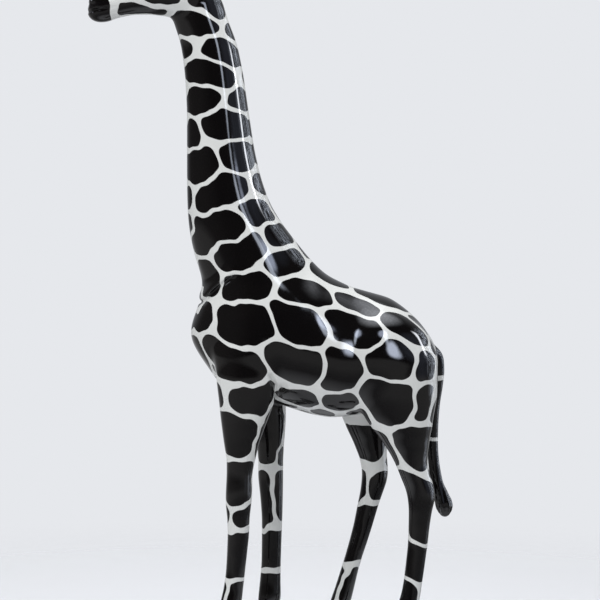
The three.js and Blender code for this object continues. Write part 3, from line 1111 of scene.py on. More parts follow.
@functools.cache
def gloss_lacquer():
    """Black and white enamel under clear polyester lacquer: mirror gloss with a faint orange peel."""
    statue = bpy.context.scene.statue
    material, tree, shader = new_material("gloss_lacquer")
    mark = add_node(tree, "ShaderNodeAttribute", attribute_name="paint")
    where = add_node(tree, "ShaderNodeTexCoord")
    # The black is thinner in clouds about 70 mm wide.
    cloud = add_node(tree, "ShaderNodeTexNoise", {"Vector": where.outputs["Object"]}, Scale=14.0)
    tone = add_node(
        tree,
        "ShaderNodeMix",
        {"Factor": cloud.outputs["Fac"]},
        data_type="RGBA",
        A=statue.black,
        B=statue.black_worn,
    )
    # Brushed edges: white turns to black over 0.9 mm.
    step = add_node(
        tree,
        "ShaderNodeMapRange",
        {"Value": mark.outputs["Fac"]},
        interpolation_type="SMOOTHSTEP",
        From_Min=-0.45,
        From_Max=0.45,
    )
    mix = add_node(
        tree,
        "ShaderNodeMix",
        {"Factor": step.outputs["Result"], "B": tone.outputs["Result"]},
        data_type="RGBA",
        A=statue.white,
    )
    tree.links.new(mix.outputs["Result"], shader.inputs["Base Color"])
    # Orange peel: ripples about 12 mm apart and a few hundredths of a millimetre high.
    peel = add_node(
        tree, "ShaderNodeTexNoise", {"Vector": where.outputs["Object"]}, Scale=1 / 0.012, Detail=1.0
    )
    bump = add_node(
        tree, "ShaderNodeBump", {"Height": peel.outputs["Fac"]}, Strength=0.12, Distance=0.0004
    )
    tree.links.new(bump.outputs["Normal"], shader.inputs["Normal"])
    shader.inputs["Roughness"].default_value = statue.gloss_roughness
    shader.inputs["IOR"].default_value = 1.52
    return material


@functools.cache
def raw_resin():
    """The casting's inner face: rough polyester with glass fibre showing, matt and straw coloured."""
    material, tree, shader = new_material("raw_resin")
    where = add_node(tree, "ShaderNodeTexCoord")
    # Fibre ends and lumps about 6 mm apart.
    noise = add_node(
        tree, "ShaderNodeTexNoise", {"Vector": where.outputs["Object"]}, Scale=160.0, Detail=4.0
    )
    mix = add_node(
        tree,
        "ShaderNodeMix",
        {"Factor": noise.outputs["Fac"]},
        data_type="RGBA",
        A=linear("#B9B48F"),
        B=linear("#D6D2B4"),
    )
    tree.links.new(mix.outputs["Result"], shader.inputs["Base Color"])
    bump = add_node(
        tree, "ShaderNodeBump", {"Height": noise.outputs["Fac"]}, Strength=0.5, Distance=0.001
    )
    tree.links.new(bump.outputs["Normal"], shader.inputs["Normal"])
    shader.inputs["Roughness"].default_value = 0.65
    return material


@functools.cache
def mill_steel():
    """Hot-rolled steel bar: dull blue-grey mill scale, with brown bloom where it has rubbed off."""
    material, tree, shader = new_material("mill_steel")
    where = add_node(tree, "ShaderNodeTexCoord")
    # Rust blooms in spots 10 mm apart, on scale with a grain of 1 mm.
    bloom = add_node(
        tree, "ShaderNodeTexNoise", {"Vector": where.outputs["Object"]}, Scale=100.0, Detail=5.0
    )
    spots = add_node(
        tree, "ShaderNodeMapRange", {"Value": bloom.outputs["Fac"]}, From_Min=0.52, From_Max=0.66
    )
    mix = add_node(
        tree,
        "ShaderNodeMix",
        {"Factor": spots.outputs["Result"]},
        data_type="RGBA",
        A=linear("#6B7077"),
        B=linear("#6E4A33"),
    )
    tree.links.new(mix.outputs["Result"], shader.inputs["Base Color"])
    rough = add_node(
        tree, "ShaderNodeMapRange", {"Value": spots.outputs["Result"]}, To_Min=0.42, To_Max=0.85
    )
    tree.links.new(rough.outputs["Result"], shader.inputs["Roughness"])
    grain = add_node(tree, "ShaderNodeTexNoise", {"Vector": where.outputs["Object"]}, Scale=1000.0)
    bump = add_node(
        tree, "ShaderNodeBump", {"Height": grain.outputs["Fac"]}, Strength=0.4, Distance=0.0003
    )
    tree.links.new(bump.outputs["Normal"], shader.inputs["Normal"])
    shader.inputs["Metallic"].default_value = 0.9
    return material


@functools.cache
def pad_rubber():
    """Moulded black rubber: charcoal and matt, with a fine pebbled grain and pale dust."""
    material, tree, shader = new_material("pad_rubber")
    where = add_node(tree, "ShaderNodeTexCoord")
    # Dust lies in patches about 17 mm wide.
    dust = add_node(
        tree, "ShaderNodeTexNoise", {"Vector": where.outputs["Object"]}, Scale=60.0, Detail=4.0
    )
    mix = add_node(
        tree,
        "ShaderNodeMix",
        {"Factor": dust.outputs["Fac"]},
        data_type="RGBA",
        A=linear("#161617"),
        B=linear("#2C2C2D"),
    )
    tree.links.new(mix.outputs["Result"], shader.inputs["Base Color"])
    # Pebbles of 1.2 mm.
    grain = add_node(tree, "ShaderNodeTexVoronoi", {"Vector": where.outputs["Object"]}, Scale=830.0)
    bump = add_node(
        tree, "ShaderNodeBump", {"Height": grain.outputs["Distance"]}, Strength=0.5, Distance=0.0003
    )
    tree.links.new(bump.outputs["Normal"], shader.inputs["Normal"])
    shader.inputs["Roughness"].default_value = 0.72
    shader.inputs["IOR"].default_value = 1.52
    return material


@functools.cache
def glass_tape():
    """Glass cloth laid up in polyester: straw coloured and half glossy, with its weave standing out."""
    material, tree, shader = new_material("glass_tape")
    where = add_node(tree, "ShaderNodeTexCoord")
    # Rovings 4 mm apart in two directions.
    warp = add_node(tree, "ShaderNodeTexWave", {"Vector": where.outputs["Object"]}, Scale=80.0)
    weft = add_node(
        tree,
        "ShaderNodeTexWave",
        {"Vector": where.outputs["Object"]},
        bands_direction="Z",
        Scale=80.0,
    )
    weave = add_node(
        tree,
        "ShaderNodeMath",
        {0: warp.outputs["Fac"], 1: weft.outputs["Fac"]},
        operation="MULTIPLY",
    )
    mix = add_node(
        tree,
        "ShaderNodeMix",
        {"Factor": weave.outputs["Value"]},
        data_type="RGBA",
        A=linear("#A9A273"),
        B=linear("#DAD8C2"),
    )
    tree.links.new(mix.outputs["Result"], shader.inputs["Base Color"])
    bump = add_node(
        tree, "ShaderNodeBump", {"Height": weave.outputs["Value"]}, Strength=0.6, Distance=0.0005
    )
    tree.links.new(bump.outputs["Normal"], shader.inputs["Normal"])
    shader.inputs["Roughness"].default_value = 0.35
    shader.inputs["IOR"].default_value = 1.54
    return material


# Making the pieces.


def refinish(material, *names):
    """Gives the parts that keep their own shape a material."""
    for name in names:
        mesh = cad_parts[name].data
        mesh.materials.clear()
        mesh.materials.append(material)


def finish_piece(piece, slot, *nodes):
    """A finished piece rides on the statue and stands for its CAD nodes."""
    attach(piece, "root")
    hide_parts(*nodes)


def link_mesh(name, mesh):
    """A mesh as a new object in the scene."""
    made = bpy.data.objects.new(name, mesh)
    bpy.context.scene.collection.objects.link(made)
    return made


def border_edges(quads):
    """The directed edges of faces that have no face on their other side."""
    edges = np.concatenate([quads[:, (i, (i + 1) % 4)] for i in range(4)])
    forward = edges[:, 0].astype(np.int64) * (edges.max() + 1) + edges[:, 1]
    backward = edges[:, 1].astype(np.int64) * (edges.max() + 1) + edges[:, 0]
    return edges[~np.isin(forward, backward)]


def border_loops(edges):
    """Border edges joined end to end into closed loops."""
    after = dict(zip(edges[:, 0].tolist(), edges[:, 1].tolist()))
    loops = []
    while after:
        start, at = after.popitem()
        loop = [start]
        while at != start:
            loop.append(at)
            at = after.pop(at)
        loops.append(loop)
    return loops


def casting(name, wall):
    """One casting of the body: outer skin and inner skin with a rim, or solid with flat ends."""
    statue = bpy.context.scene.statue
    points, normals, quads, piece = whole_skin(statue.cell / MM)
    own = quads[piece == PIECES.index(name)]
    used, flat = np.unique(own, return_inverse=True)
    own = flat.reshape(-1, 4)
    p, n = points[used], normals[used]
    mark = paint(p, statue.line / MM, statue.waver / MM)
    outer = len(p)
    faces = own.tolist()
    rim = border_edges(own)
    if wall:
        p = np.vstack([p, p - n * wall])
        n = np.vstack([n, -n])
        faces += (own[:, ::-1] + outer).tolist()
        faces += [[b, a, a + outer, b + outer] for a, b in rim.tolist()]
    else:
        for loop in border_loops(rim):
            p = np.vstack([p, p[loop].mean(0)])
            n = np.vstack([n, (0, 0, 1)])
            middle = len(p) - 1
            faces += [[b, a, middle] for a, b in zip(loop, loop[1:] + loop[:1])]
    mesh = bpy.data.meshes.new(name)
    mesh.from_pydata(((p + SHIFT) * MM).tolist(), [], faces)
    mesh.materials.append(gloss_lacquer())
    mesh.materials.append(raw_resin())
    slots = np.zeros(len(mesh.polygons), np.int32)
    slots[len(own) :] = 1
    mesh.polygons.foreach_set("material_index", slots)
    marks = np.zeros(len(p), np.float32)
    marks[: len(mark)] = mark
    mesh.attributes.new("paint", "FLOAT", "POINT").data.foreach_set("value", marks)
    mesh.shade_smooth()
    mesh.normals_split_custom_set_from_vertices(n.tolist())
    finish_piece(link_mesh(name + "_casting", mesh), "lacquered_resin", name)


# The ears and ossicones, as rings along a line.
EAR = (
    (36, -152, 1366, 8, 8),
    (48, -146, 1374, 10, 12),
    (66, -136, 1384, 8.5, 17),
    (84, -126, 1392, 6.5, 14),
    (98, -118, 1397, 2, 4),
)
HORN = (
    (20, -172, 1386, 13.5, 13.5),
    (21, -169, 1398, 11.5, 11.5),
    (21.6, -165, 1414, 9.6, 9.6),
    (22.3, -162, 1430, 9.8, 9.8),
    (23, -160, 1441, 12, 12),
    (23, -158.5, 1451, 11, 11),
    (23, -157.3, 1456.4, 6.6, 6.6),
    (23, -157.2, 1457.7, 4, 4),
    (23, -157.2, 1458.3, 0.6, 0.6),
)
EAR_RINGS = 40
EAR_SIDES = 40
# How deep an ear's front is hollowed, as a share of its depth, and the width of its white rim.
EAR_CUP = 1.5
EAR_RIM = 3.5
# The shares of an ear's length at which the hollow starts, the black starts and the black ends.
EAR_STEM = 0.1
EAR_BLACK = (0.16, 0.9)
HORN_RINGS = 60
# The heights of the white ring on an ossicone, and of the white at its foot.
HORN_RING = (1428, 1435)
BASE_RING = 1397


def ear_section(turn, share):
    """A leaf with a hollow front, whose root is a round stem."""
    cup = min(1, max(0, (share - EAR_STEM) / 0.3))
    v = math.sin(turn)
    if v > 0:
        v *= 1 - EAR_CUP * cup
    return math.cos(turn), v


def ear_mark(turn, share, wide):
    """Black with a white rim, and white at the root and the tip."""
    rim = wide * (1 - abs(math.cos(turn))) - EAR_RIM
    root = (share - EAR_BLACK[0]) * 60
    tip = (EAR_BLACK[1] - share) * 60
    return min(rim, root, tip)


def ear(name, side):
    """One ear: a closed skin of rings along a smooth line."""
    rows = smooth_line(EAR, EAR_RINGS)
    line = rows[:, :3]
    along = np.gradient(line, axis=0)
    along /= np.linalg.norm(along, axis=1, keepdims=True)
    points, marks = [], []
    for i, (at, way, deep, wide) in enumerate(zip(line, along, rows[:, 3], rows[:, 4])):
        across = np.array((1.0, 0, 0)) - way[0] * way
        across /= np.linalg.norm(across)
        up = np.cross(across, way)
        share = i / (EAR_RINGS - 1)
        for k in range(EAR_SIDES):
            turn = math.tau * k / EAR_SIDES
            u, v = ear_section(turn, share)
            points.append(at + across * wide * u + up * deep * v)
            marks.append(ear_mark(turn, share, wide))
    points += [line[0] - along[0], line[-1] + along[-1] * 1.5]
    marks += [marks[0], marks[-1]]
    root, tip = len(points) - 2, len(points) - 1
    last = root - EAR_SIDES
    faces = []
    for k in range(EAR_SIDES):
        after = (k + 1) % EAR_SIDES
        for i in range(EAR_RINGS - 1):
            a, b = i * EAR_SIDES + k, i * EAR_SIDES + after
            faces.append((a, b, b + EAR_SIDES, a + EAR_SIDES))
        faces.append((after, k, root))
        faces.append((last + k, last + after, tip))
    points = (np.array(points) * (side, 1, 1) + SHIFT) * MM
    if side > 0:
        faces = [face[::-1] for face in faces]
    mesh = bpy.data.meshes.new(name)
    mesh.from_pydata(points.tolist(), [], faces)
    mesh.attributes.new("paint", "FLOAT", "POINT").data.foreach_set("value", marks)
    mesh.materials.append(gloss_lacquer())
    mesh.shade_smooth()
    finish_piece(link_mesh(name + "_casting", mesh), "lacquered_resin", name)


def horn_sockets(tree):
    """The horn tree's named inputs and its output."""
    face = tree.interface
    face.new_socket("Line", in_out="INPUT", socket_type="NodeSocketGeometry")
    for name, kind in (
        ("Sides", "NodeSocketInt"),
        ("Ring low", "NodeSocketFloat"),
        ("Ring high", "NodeSocketFloat"),
        ("Root", "NodeSocketFloat"),
        ("Material", "NodeSocketMaterial"),
    ):
        face.new_socket(name, in_out="INPUT", socket_type=kind)
    face.new_socket("Horn", in_out="OUTPUT", socket_type="NodeSocketGeometry")


@functools.cache
def horn_tree():
    """Nodes that sweep a ring along a horn's line, and paint it black with two white rings."""
    tree = bpy.data.node_groups.new("ossicone", "GeometryNodeTree")
    horn_sockets(tree)
    entry = tree.nodes.new("NodeGroupInput")
    line = add_node(tree, "GeometryNodeMeshToCurve", {"Mesh": entry.outputs["Line"]})
    thick = add_node(tree, "GeometryNodeInputNamedAttribute", data_type="FLOAT")
    thick.inputs["Name"].default_value = "thickness"
    ring = add_node(
        tree, "GeometryNodeCurvePrimitiveCircle", {"Resolution": entry.outputs["Sides"]}, Radius=1.0
    )
    sweep = add_node(
        tree,
        "GeometryNodeCurveToMesh",
        {
            "Curve": line.outputs["Curve"],
            "Profile Curve": ring.outputs["Curve"],
            "Scale": thick.outputs["Attribute"],
        },
        Fill_Caps=True,
    )
    place = add_node(tree, "GeometryNodeInputPosition")
    split = add_node(tree, "ShaderNodeSeparateXYZ", {"Vector": place.outputs["Position"]})
    height = split.outputs["Z"]
    gaps = []
    for top, bottom in (
        (entry.outputs["Ring low"], height),
        (height, entry.outputs["Ring high"]),
        (height, entry.outputs["Root"]),
    ):
        gap = add_node(tree, "ShaderNodeMath", {0: top, 1: bottom}, operation="SUBTRACT")
        gaps.append(gap.outputs["Value"])
    ring_away = add_node(tree, "ShaderNodeMath", {0: gaps[0], 1: gaps[1]}, operation="MAXIMUM")
    least = add_node(
        tree, "ShaderNodeMath", {0: ring_away.outputs["Value"], 1: gaps[2]}, operation="MINIMUM"
    )
    mark = add_node(tree, "ShaderNodeMath", {0: least.outputs["Value"]}, operation="DIVIDE")
    mark.inputs[1].default_value = MM
    painted = add_node(
        tree,
        "GeometryNodeStoreNamedAttribute",
        {"Geometry": sweep.outputs["Mesh"], "Value": mark.outputs["Value"]},
        Name="paint",
    )
    smooth = add_node(
        tree, "GeometryNodeSetShadeSmooth", {"Geometry": painted.outputs["Geometry"]}
    )
    whole = add_node(
        tree, "GeometryNodeRealizeInstances", {"Geometry": smooth.outputs["Geometry"]}
    )
    coat = add_node(
        tree,
        "GeometryNodeSetMaterial",
        {"Geometry": whole.outputs["Geometry"], "Material": entry.outputs["Material"]},
    )
    out = tree.nodes.new("NodeGroupOutput")
    tree.links.new(coat.outputs["Geometry"], out.inputs["Horn"])
    return tree


def horn(name, side):
    """One ossicone, swept along its line by geometry nodes and then made a plain mesh."""
    statue = bpy.context.scene.statue
    rows = smooth_line(HORN, HORN_RINGS)
    points = (rows[:, :3] * (side, 1, 1) + SHIFT) * MM
    mesh = bpy.data.meshes.new(name + "_line")
    mesh.from_pydata(points.tolist(), [(i, i + 1) for i in range(len(points) - 1)], [])
    mesh.attributes.new("thickness", "FLOAT", "POINT").data.foreach_set("value", rows[:, 3] * MM)
    line = link_mesh(name + "_line", mesh)
    modifier = line.modifiers.new("sweep", "NODES")
    modifier.node_group = horn_tree()
    sizes = {
        "Sides": statue.horn_sides,
        "Ring low": HORN_RING[0] * MM,
        "Ring high": HORN_RING[1] * MM,
        "Root": BASE_RING * MM,
        "Material": gloss_lacquer(),
    }
    for item in modifier.node_group.interface.items_tree:
        if item.name in sizes:
            modifier[item.identifier] = sizes[item.name]
    seen = line.evaluated_get(bpy.context.evaluated_depsgraph_get())
    swept = bpy.data.meshes.new_from_object(seen)
    bpy.data.objects.remove(line)
    finish_piece(link_mesh(name + "_casting", swept), "lacquered_resin", name)


# Stage.


def area_light(name, spot, aim, size, power):
    """A rectangular soft light at spot, turned to aim, in metres and watts."""
    data = bpy.data.lights.new(name, "AREA")
    data.shape = "RECTANGLE"
    data.size, data.size_y = size
    data.energy = power
    light = bpy.data.objects.new(name, data)
    bpy.context.scene.collection.objects.link(light)
    light.location = spot
    light.rotation_euler = (Vector(aim) - Vector(spot)).to_track_quat("-Z", "Y").to_euler()
    light.visible_glossy = False
    light.visible_camera = False
    return light


def soft_box(name, spot, aim, size, radiance, colour):
    """A light that only gloss shows, bright in its middle and faded out to an oval rim."""
    light = area_light(name, spot, aim, size, math.pi * size[0] * size[1])
    light.visible_glossy = True
    light.visible_diffuse = False
    light.data.use_nodes = True
    tree = light.data.node_tree
    place = add_node(tree, "ShaderNodeNewGeometry")
    middle = add_node(
        tree, "ShaderNodeVectorMath", {0: place.outputs["Parametric"]}, operation="SUBTRACT"
    )
    middle.inputs[1].default_value = (0.5, 0.5, 0)
    away = add_node(
        tree, "ShaderNodeVectorMath", {0: middle.outputs["Vector"]}, operation="LENGTH"
    )
    fade = add_node(
        tree,
        "ShaderNodeMapRange",
        {"Value": away.outputs["Value"]},
        interpolation_type="SMOOTHSTEP",
        From_Min=0.5,
        From_Max=0.22,
        To_Max=radiance,
    )
    shine = tree.nodes["Emission"]
    shine.inputs["Color"].default_value = linear(colour)
    tree.links.new(fade.outputs["Result"], shine.inputs["Strength"])


def around(azimuth, distance, height):
    """A point round the statue, by azimuth in degrees, distance and height in metres."""
    turn = math.radians(azimuth)
    return (distance * math.sin(turn), -distance * math.cos(turn), height)


# What the gloss reflects: azimuth and elevation of a glow's middle, the angles from it at which
# the glow is full and gone, its colour, its strength, and how much of it is broken up.
ROOM = (
    (82, 90, 10, 38, "#EEF2FA", 6.0, 0.3),
    (0, 0, 10, 80, "#E8E4E4", 0.10, 0.0),
    (143, 14, 5, 26, "#BFCBE6", 0.6, 0.3),
    (185, 14, 12, 34, "#DDE6F5", 8.0, 0.99),
    (262, 25, 10, 75, "#DDE0E6", 0.55, 0.0),
)
# The room's own brightness and the far floor's, and the slopes of a reflected ray between which
# one turns into the other.
ROOM_DARK = 0.022
FAR_FLOOR = 0.31
FLOOR_EDGE = (-0.02, -0.10)
# The light that falls on the statue from all round: its colour and strength.
SOFT_COLOUR = (0.95, 0.97, 1.0, 1)
SOFT_STRENGTH = 0.70


def make_world():
    """A pale backdrop for the camera, soft light all round, and a dim room in the reflections."""
    stage = bpy.context.scene.stage
    world = bpy.data.worlds.new("studio")
    bpy.context.scene.world = world
    world.use_nodes = True
    tree = world.node_tree
    tree.nodes.clear()
    path = add_node(tree, "ShaderNodeLightPath")
    where = add_node(tree, "ShaderNodeTexCoord")
    way = where.outputs["Generated"]
    split = add_node(tree, "ShaderNodeSeparateXYZ", {"Vector": way})
    floor = add_node(
        tree,
        "ShaderNodeMapRange",
        {"Value": split.outputs["Z"]},
        From_Min=FLOOR_EDGE[0],
        From_Max=FLOOR_EDGE[1],
        To_Min=ROOM_DARK,
        To_Max=FAR_FLOOR,
    )
    # A broken glow is torn into shreds, about two degrees wide.
    broken = add_node(tree, "ShaderNodeTexNoise", {"Vector": way}, Scale=34.0, Detail=4.0)
    shreds = add_node(
        tree, "ShaderNodeMapRange", {"Value": broken.outputs["Fac"]}, From_Min=0.52, From_Max=0.57
    )
    total = floor.outputs["Result"]
    for azimuth, elevation, full, gone, colour, strength, broken_share in ROOM:
        rise = math.radians(elevation)
        x, y, _ = around(azimuth, math.cos(rise), 0)
        toward = add_node(tree, "ShaderNodeVectorMath", {0: way}, operation="DOT_PRODUCT")
        toward.inputs[1].default_value = (x, y, math.sin(rise))
        glow = add_node(
            tree,
            "ShaderNodeMapRange",
            {"Value": toward.outputs["Value"]},
            interpolation_type="SMOOTHSTEP",
            From_Min=math.cos(math.radians(gone)),
            From_Max=math.cos(math.radians(full)),
        )
        solid = add_node(
            tree, "ShaderNodeMapRange", {"Value": shreds.outputs["Result"]}, To_Min=1 - broken_share
        )
        left = add_node(
            tree,
            "ShaderNodeMath",
            {0: glow.outputs["Result"], 1: solid.outputs["Result"]},
            operation="MULTIPLY",
        )
        tint = add_node(
            tree, "ShaderNodeVectorMath", {"Scale": left.outputs["Value"]}, operation="SCALE"
        )
        tint.inputs[0].default_value = [strength * c for c in linear(colour)[:3]]
        both = add_node(
            tree, "ShaderNodeVectorMath", {0: total, 1: tint.outputs["Vector"]}, operation="ADD"
        )
        total = both.outputs["Vector"]
    soft = add_node(tree, "ShaderNodeBackground", Color=SOFT_COLOUR, Strength=SOFT_STRENGTH)
    room = add_node(tree, "ShaderNodeBackground", {"Color": total}, Strength=1.0)
    pale = add_node(tree, "ShaderNodeBackground", Color=stage.backdrop, Strength=1.0)
    lit = add_node(tree, "ShaderNodeMixShader", {0: path.outputs["Is Glossy Ray"]})
    tree.links.new(soft.outputs[0], lit.inputs[1])
    tree.links.new(room.outputs[0], lit.inputs[2])
    seen = add_node(tree, "ShaderNodeMixShader", {0: path.outputs["Is Camera Ray"]})
    tree.links.new(lit.outputs[0], seen.inputs[1])
    tree.links.new(pale.outputs[0], seen.inputs[2])
    out = add_node(tree, "ShaderNodeOutputWorld")
    tree.links.new(seen.outputs[0], out.inputs["Surface"])


# The shares of the floor's radius over which it fades out, and the distances from its middle, in
# metres, over which painted shade darkens its reflection.
FLOOR_FADE = (0.18, 0.92)
FLOOR_SHADE_SPAN = (0.35, 0.85)


def make_floor():
    """A pale round floor that fades out into the backdrop."""
    stage = bpy.context.scene.stage
    rings = 48
    sides = 128
    radii = np.linspace(0, stage.floor_radius, rings + 1)[1:]
    turns = np.arange(sides) / sides * math.tau
    points = [(0, 0, 0)]
    points += [(r * math.cos(t), r * math.sin(t), 0) for r in radii for t in turns]
    faces = [(0, 1 + k, 1 + (k + 1) % sides) for k in range(sides)]
    for i in range(rings - 1):
        for k in range(sides):
            a, b = 1 + i * sides + k, 1 + i * sides + (k + 1) % sides
            faces.append((a, a + sides, b + sides, b))
    mesh = bpy.data.meshes.new("floor")
    mesh.from_pydata(points, [], faces)
    material, tree, shader = new_material("matt_studio_floor")
    where = add_node(tree, "ShaderNodeTexCoord")
    away = add_node(
        tree, "ShaderNodeVectorMath", {0: where.outputs["Object"]}, operation="LENGTH"
    )
    fade = add_node(
        tree,
        "ShaderNodeMapRange",
        {"Value": away.outputs["Value"]},
        interpolation_type="SMOOTHSTEP",
        From_Min=FLOOR_FADE[0] * stage.floor_radius,
        From_Max=FLOOR_FADE[1] * stage.floor_radius,
        To_Min=1.0,
        To_Max=0.0,
    )
    tree.links.new(fade.outputs["Result"], shader.inputs["Alpha"])
    # Painted shade: glossy rays see the floor in a darker grey away from its middle, so a polished piece
    # mirrors it dimmer, as if the room's light stopped short of it.
    path = add_node(tree, "ShaderNodeLightPath")
    dim = add_node(
        tree,
        "ShaderNodeMapRange",
        {"Value": away.outputs["Value"]},
        From_Min=FLOOR_SHADE_SPAN[0],
        From_Max=FLOOR_SHADE_SPAN[1],
    )
    glossy = add_node(
        tree,
        "ShaderNodeMath",
        {0: path.outputs["Is Glossy Ray"], 1: dim.outputs["Result"]},
        operation="MULTIPLY",
    )
    # The dark grey is painted shade, seen only in reflections of the floor.
    tone = add_node(
        tree,
        "ShaderNodeMix",
        {"Factor": glossy.outputs["Value"]},
        data_type="RGBA",
        A=stage.floor_colour,
        B=linear("#4C4D4F"),
    )
    tree.links.new(tone.outputs["Result"], shader.inputs["Base Color"])
    shader.inputs["Roughness"].default_value = 0.6
    shader.inputs["Specular IOR Level"].default_value = 0.2
    mesh.materials.append(material)
    floor = link_mesh("floor", mesh)


# The point that the lights round the statue are turned to, in metres.
LIT_MIDDLE = (0, 0.06, 0.7)
# Soft boxes round the statue: name, azimuth past the camera's, distance, height, size, radiance
# and colour.
TURNED_BOXES = (
    ("near_box", 29, 2.5, 2.1, (0.42, 1.7), 9, "#DCE5F6"),
    ("rear_box", 80, 2.5, 1.8, (0.42, 1.3), 18, "#F2F5FC"),
)
# Soft boxes for one highlight each: name, place, aim, size, radiance and colour.
HIGHLIGHT_BOXES = (
    ("haunch_box", (0.77, 0.5, 0.76), (0.117, 0.22, 0.61), (0.27, 0.42), 14, "#D6DFF3"),
    ("flank_box", (0.65, 0.31, 1.07), (0.117, 0.14, 0.645), (0.2, 0.26), 9, "#D0DAF2"),
    ("muzzle_box", (0.05, -0.96, 1.52), (0.02, -0.36, 1.285), (0.16, 0.4), 8, "#E4E9F5"),
)


def make_lights():
    """Two large soft lights over and beside the statue, and the soft boxes in its gloss."""
    azimuth = bpy.context.scene.stage.azimuth
    area_light("overhead", (0.2, 0.1, 3.2), (0, 0.1, 0.6), (2.2, 2.6), 76)
    area_light("fill", around(azimuth - 35, 3.4, 1.6), LIT_MIDDLE, (2.4, 2.4), 46)
    for name, turn, distance, height, size, radiance, colour in TURNED_BOXES:
        spot = around(azimuth + turn, distance, height)
        soft_box(name, spot, LIT_MIDDLE, size, radiance, colour)
    for name, spot, aim, size, radiance, colour in HIGHLIGHT_BOXES:
        soft_box(name, spot, aim, size, radiance, colour)


# How far behind the design frame's middle the camera aims, in metres, and its sensor's width in
# millimetres.
AIM_BEHIND = 0.06
SENSOR = 36


def make_camera():
    """A level camera at the stage's azimuth, distance and height."""
    scene = bpy.context.scene
    stage = scene.stage
    turn = math.radians(stage.azimuth)
    along = Vector((math.cos(turn), math.sin(turn), 0))
    toward = Vector((math.sin(turn), -math.cos(turn), 0))
    shift = Vector(SHIFT) * MM
    aim = along * AIM_BEHIND + shift + Vector((0, 0, stage.height))
    data = bpy.data.cameras.new("camera")
    data.sensor_width = SENSOR
    data.lens = SENSOR * stage.distance / stage.view_width
    camera = bpy.data.objects.new("camera", data)
    scene.collection.objects.link(camera)
    camera.location = aim + toward * stage.distance
    camera.rotation_euler = (-toward).to_track_quat("-Z", "Y").to_euler()
    scene.camera = camera
    scene.view_settings.view_transform = "Standard"


class StatueSettings(bpy.types.PropertyGroup):
    """Sizes and finish of the castings."""

    cell: FloatProperty(
        name="Cell",
        description="Spacing of the points on the castings",
        default=0.003,
        unit="LENGTH",
        precision=4,
    )
    line: FloatProperty(
        name="Line",
        description="Width of the white lines between patches",
        default=0.0076,
        unit="LENGTH",
        precision=4,
    )
    waver: FloatProperty(
        name="Waver",
        description="How far the painted edges wander",
        default=0.0023,
        unit="LENGTH",
        precision=4,
    )
    horn_sides: IntProperty(
        name="Horn sides",
        description="Faces round an ossicone",
        default=40,
        min=8,
    )
    black: FloatVectorProperty(
        name="Black",
        description="Enamel of the patches",
        default=linear("#060506"),
        subtype="COLOR",
        size=4,
    )
    black_worn: FloatVectorProperty(
        name="Worn black",
        description="Enamel of the patches where it is thinner",
        default=linear("#0D0B0B"),
        subtype="COLOR",
        size=4,
    )
    white: FloatVectorProperty(
        name="White",
        description="Enamel of the lines",
        default=linear("#C7C8C6"),
        subtype="COLOR",
        size=4,
    )
    gloss_roughness: FloatProperty(
        name="Gloss",
        description="Roughness of the clear lacquer",
        default=0.06,
        subtype="FACTOR",
        min=0,
        max=1,
    )


class StageSettings(bpy.types.PropertyGroup):
    """Camera and floor."""

    azimuth: FloatProperty(
        name="Azimuth",
        description="Where the camera stands, from the front round to the statue's left, in degrees",
        default=82.0,
    )
    distance: FloatProperty(
        name="Distance",
        description="From the camera to the aimed point",
        default=3.6,
        unit="LENGTH",
    )
    height: FloatProperty(
        name="Height", description="Height of the camera", default=0.7, unit="LENGTH"
    )
    view_width: FloatProperty(
        name="View width",
        description="Width of the view at the statue",
        default=1.2,
        unit="LENGTH",
    )
    floor_radius: FloatProperty(
        name="Floor radius",
        description="Radius of the round floor",
        default=2.4,
        unit="LENGTH",
    )
    floor_colour: FloatVectorProperty(
        name="Floor",
        description="Colour of the matt floor",
        default=linear("#D3D4D7"),
        subtype="COLOR",
        size=4,
    )
    backdrop: FloatVectorProperty(
        name="Backdrop",
        description="Colour behind the statue",
        default=linear("#E6E8EC"),
        subtype="COLOR",
        size=4,
    )


class STATUE_OT_torso(bpy.types.Operator):
    """Make the two halves of the torso casting"""

    bl_idname = "statue.torso"
    bl_label = "Torso"

    def execute(self, context):
        casting("torso_left_shell", WALL)
        casting("torso_right_shell", WALL)
        return {"FINISHED"}


class STATUE_OT_neck(bpy.types.Operator):
    """Make the neck casting"""

    bl_idname = "statue.neck"
    bl_label = "Neck"

    def execute(self, context):
        casting("neck_shell", WALL)
        return {"FINISHED"}


class STATUE_OT_head(bpy.types.Operator):
    """Make the head casting"""

    bl_idname = "statue.head"
    bl_label = "Head"

    def execute(self, context):
        casting("head_shell", WALL)
        return {"FINISHED"}


class STATUE_OT_crown(bpy.types.Operator):
    """Make the ears and the ossicones"""

    bl_idname = "statue.crown"
    bl_label = "Ears and ossicones"

    def execute(self, context):
        for side, word in ((1, "left"), (-1, "right")):
            ear(word + "_ear", side)
            horn(word + "_ossicone", side)
        return {"FINISHED"}


class STATUE_OT_legs(bpy.types.Operator):
    """Make the four leg castings"""

    bl_idname = "statue.legs"
    bl_label = "Legs"

    def execute(self, context):
        for name in LEG_NAMES:
            casting(name + "_leg", None)
        return {"FINISHED"}


class STATUE_OT_tail(bpy.types.Operator):
    """Make the tail"""

    bl_idname = "statue.tail"
    bl_label = "Tail"

    def execute(self, context):
        casting("tail", None)
        return {"FINISHED"}


class STATUE_OT_feet(bpy.types.Operator):
    """Finish the four rubber pads under the hooves"""

    bl_idname = "statue.feet"
    bl_label = "Foot pads"

    def execute(self, context):
        refinish(pad_rubber(), *(name + "_foot_pad" for name in LEG_NAMES))
        return {"FINISHED"}


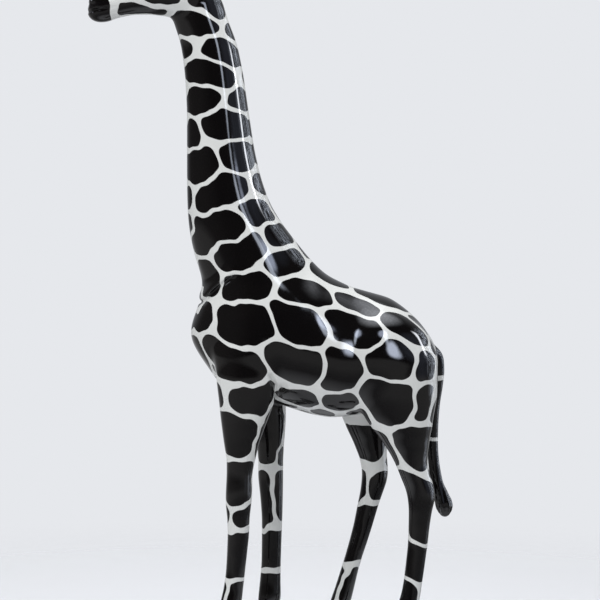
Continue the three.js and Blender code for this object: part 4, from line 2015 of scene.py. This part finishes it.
class STATUE_OT_steel(bpy.types.Operator):
    """Finish the steel bars, the rods in the legs and neck, and the tail's wire"""

    bl_idname = "statue.steel"
    bl_label = "Steel frame"

    def execute(self, context):
        refinish(mill_steel(), "spine_bar", "front_cross_bar", "rear_cross_bar", "neck_rod", "tail_wire")
        refinish(mill_steel(), *(name + "_leg_rod" for name in LEG_NAMES))
        return {"FINISHED"}


class STATUE_OT_joints(bpy.types.Operator):
    """Finish the glass fibre strips and collars over the inner seams"""

    bl_idname = "statue.joints"
    bl_label = "Seam strips and collars"

    def execute(self, context):
        refinish(glass_tape(), "back_seam_strip", "belly_seam_strip", "neck_collar", "head_collar")
        return {"FINISHED"}


class STATUE_OT_stage(bpy.types.Operator):
    """Make the floor, the lights and the camera"""

    bl_idname = "statue.stage"
    bl_label = "Stage"

    def execute(self, context):
        make_world()
        make_floor()
        make_lights()
        make_camera()
        return {"FINISHED"}


class STATUE_PT_panel(bpy.types.Panel):
    """The statue's sizes and its parts"""

    bl_idname = "STATUE_PT_panel"
    bl_label = "Giraffe statue"
    bl_space_type = "VIEW_3D"
    bl_region_type = "UI"
    bl_category = "Statue"

    def draw(self, context):
        for group in (context.scene.statue, context.scene.stage):
            for name in group.bl_rna.properties.keys():
                if name not in ("rna_type", "name"):
                    self.layout.prop(group, name)
        for operator in OPERATORS:
            self.layout.operator(operator.bl_idname)


OPERATORS = (
    STATUE_OT_torso,
    STATUE_OT_neck,
    STATUE_OT_head,
    STATUE_OT_crown,
    STATUE_OT_legs,
    STATUE_OT_tail,
    STATUE_OT_feet,
    STATUE_OT_steel,
    STATUE_OT_joints,
    STATUE_OT_stage,
)
CLASSES = (StatueSettings, StageSettings, *OPERATORS, STATUE_PT_panel)


def register():
    for cls in CLASSES:
        bpy.utils.register_class(cls)
    bpy.types.Scene.statue = PointerProperty(type=StatueSettings)
    bpy.types.Scene.stage = PointerProperty(type=StageSettings)


def unregister():
    del bpy.types.Scene.stage
    del bpy.types.Scene.statue
    for cls in reversed(CLASSES):
        bpy.utils.unregister_class(cls)


def main():
    register()
    bpy.ops.statue.torso()
    bpy.ops.statue.neck()
    bpy.ops.statue.head()
    bpy.ops.statue.crown()
    bpy.ops.statue.legs()
    bpy.ops.statue.tail()
    bpy.ops.statue.feet()
    bpy.ops.statue.steel()
    bpy.ops.statue.joints()
    bpy.ops.statue.stage()


if __name__ == "__main__":
    main()
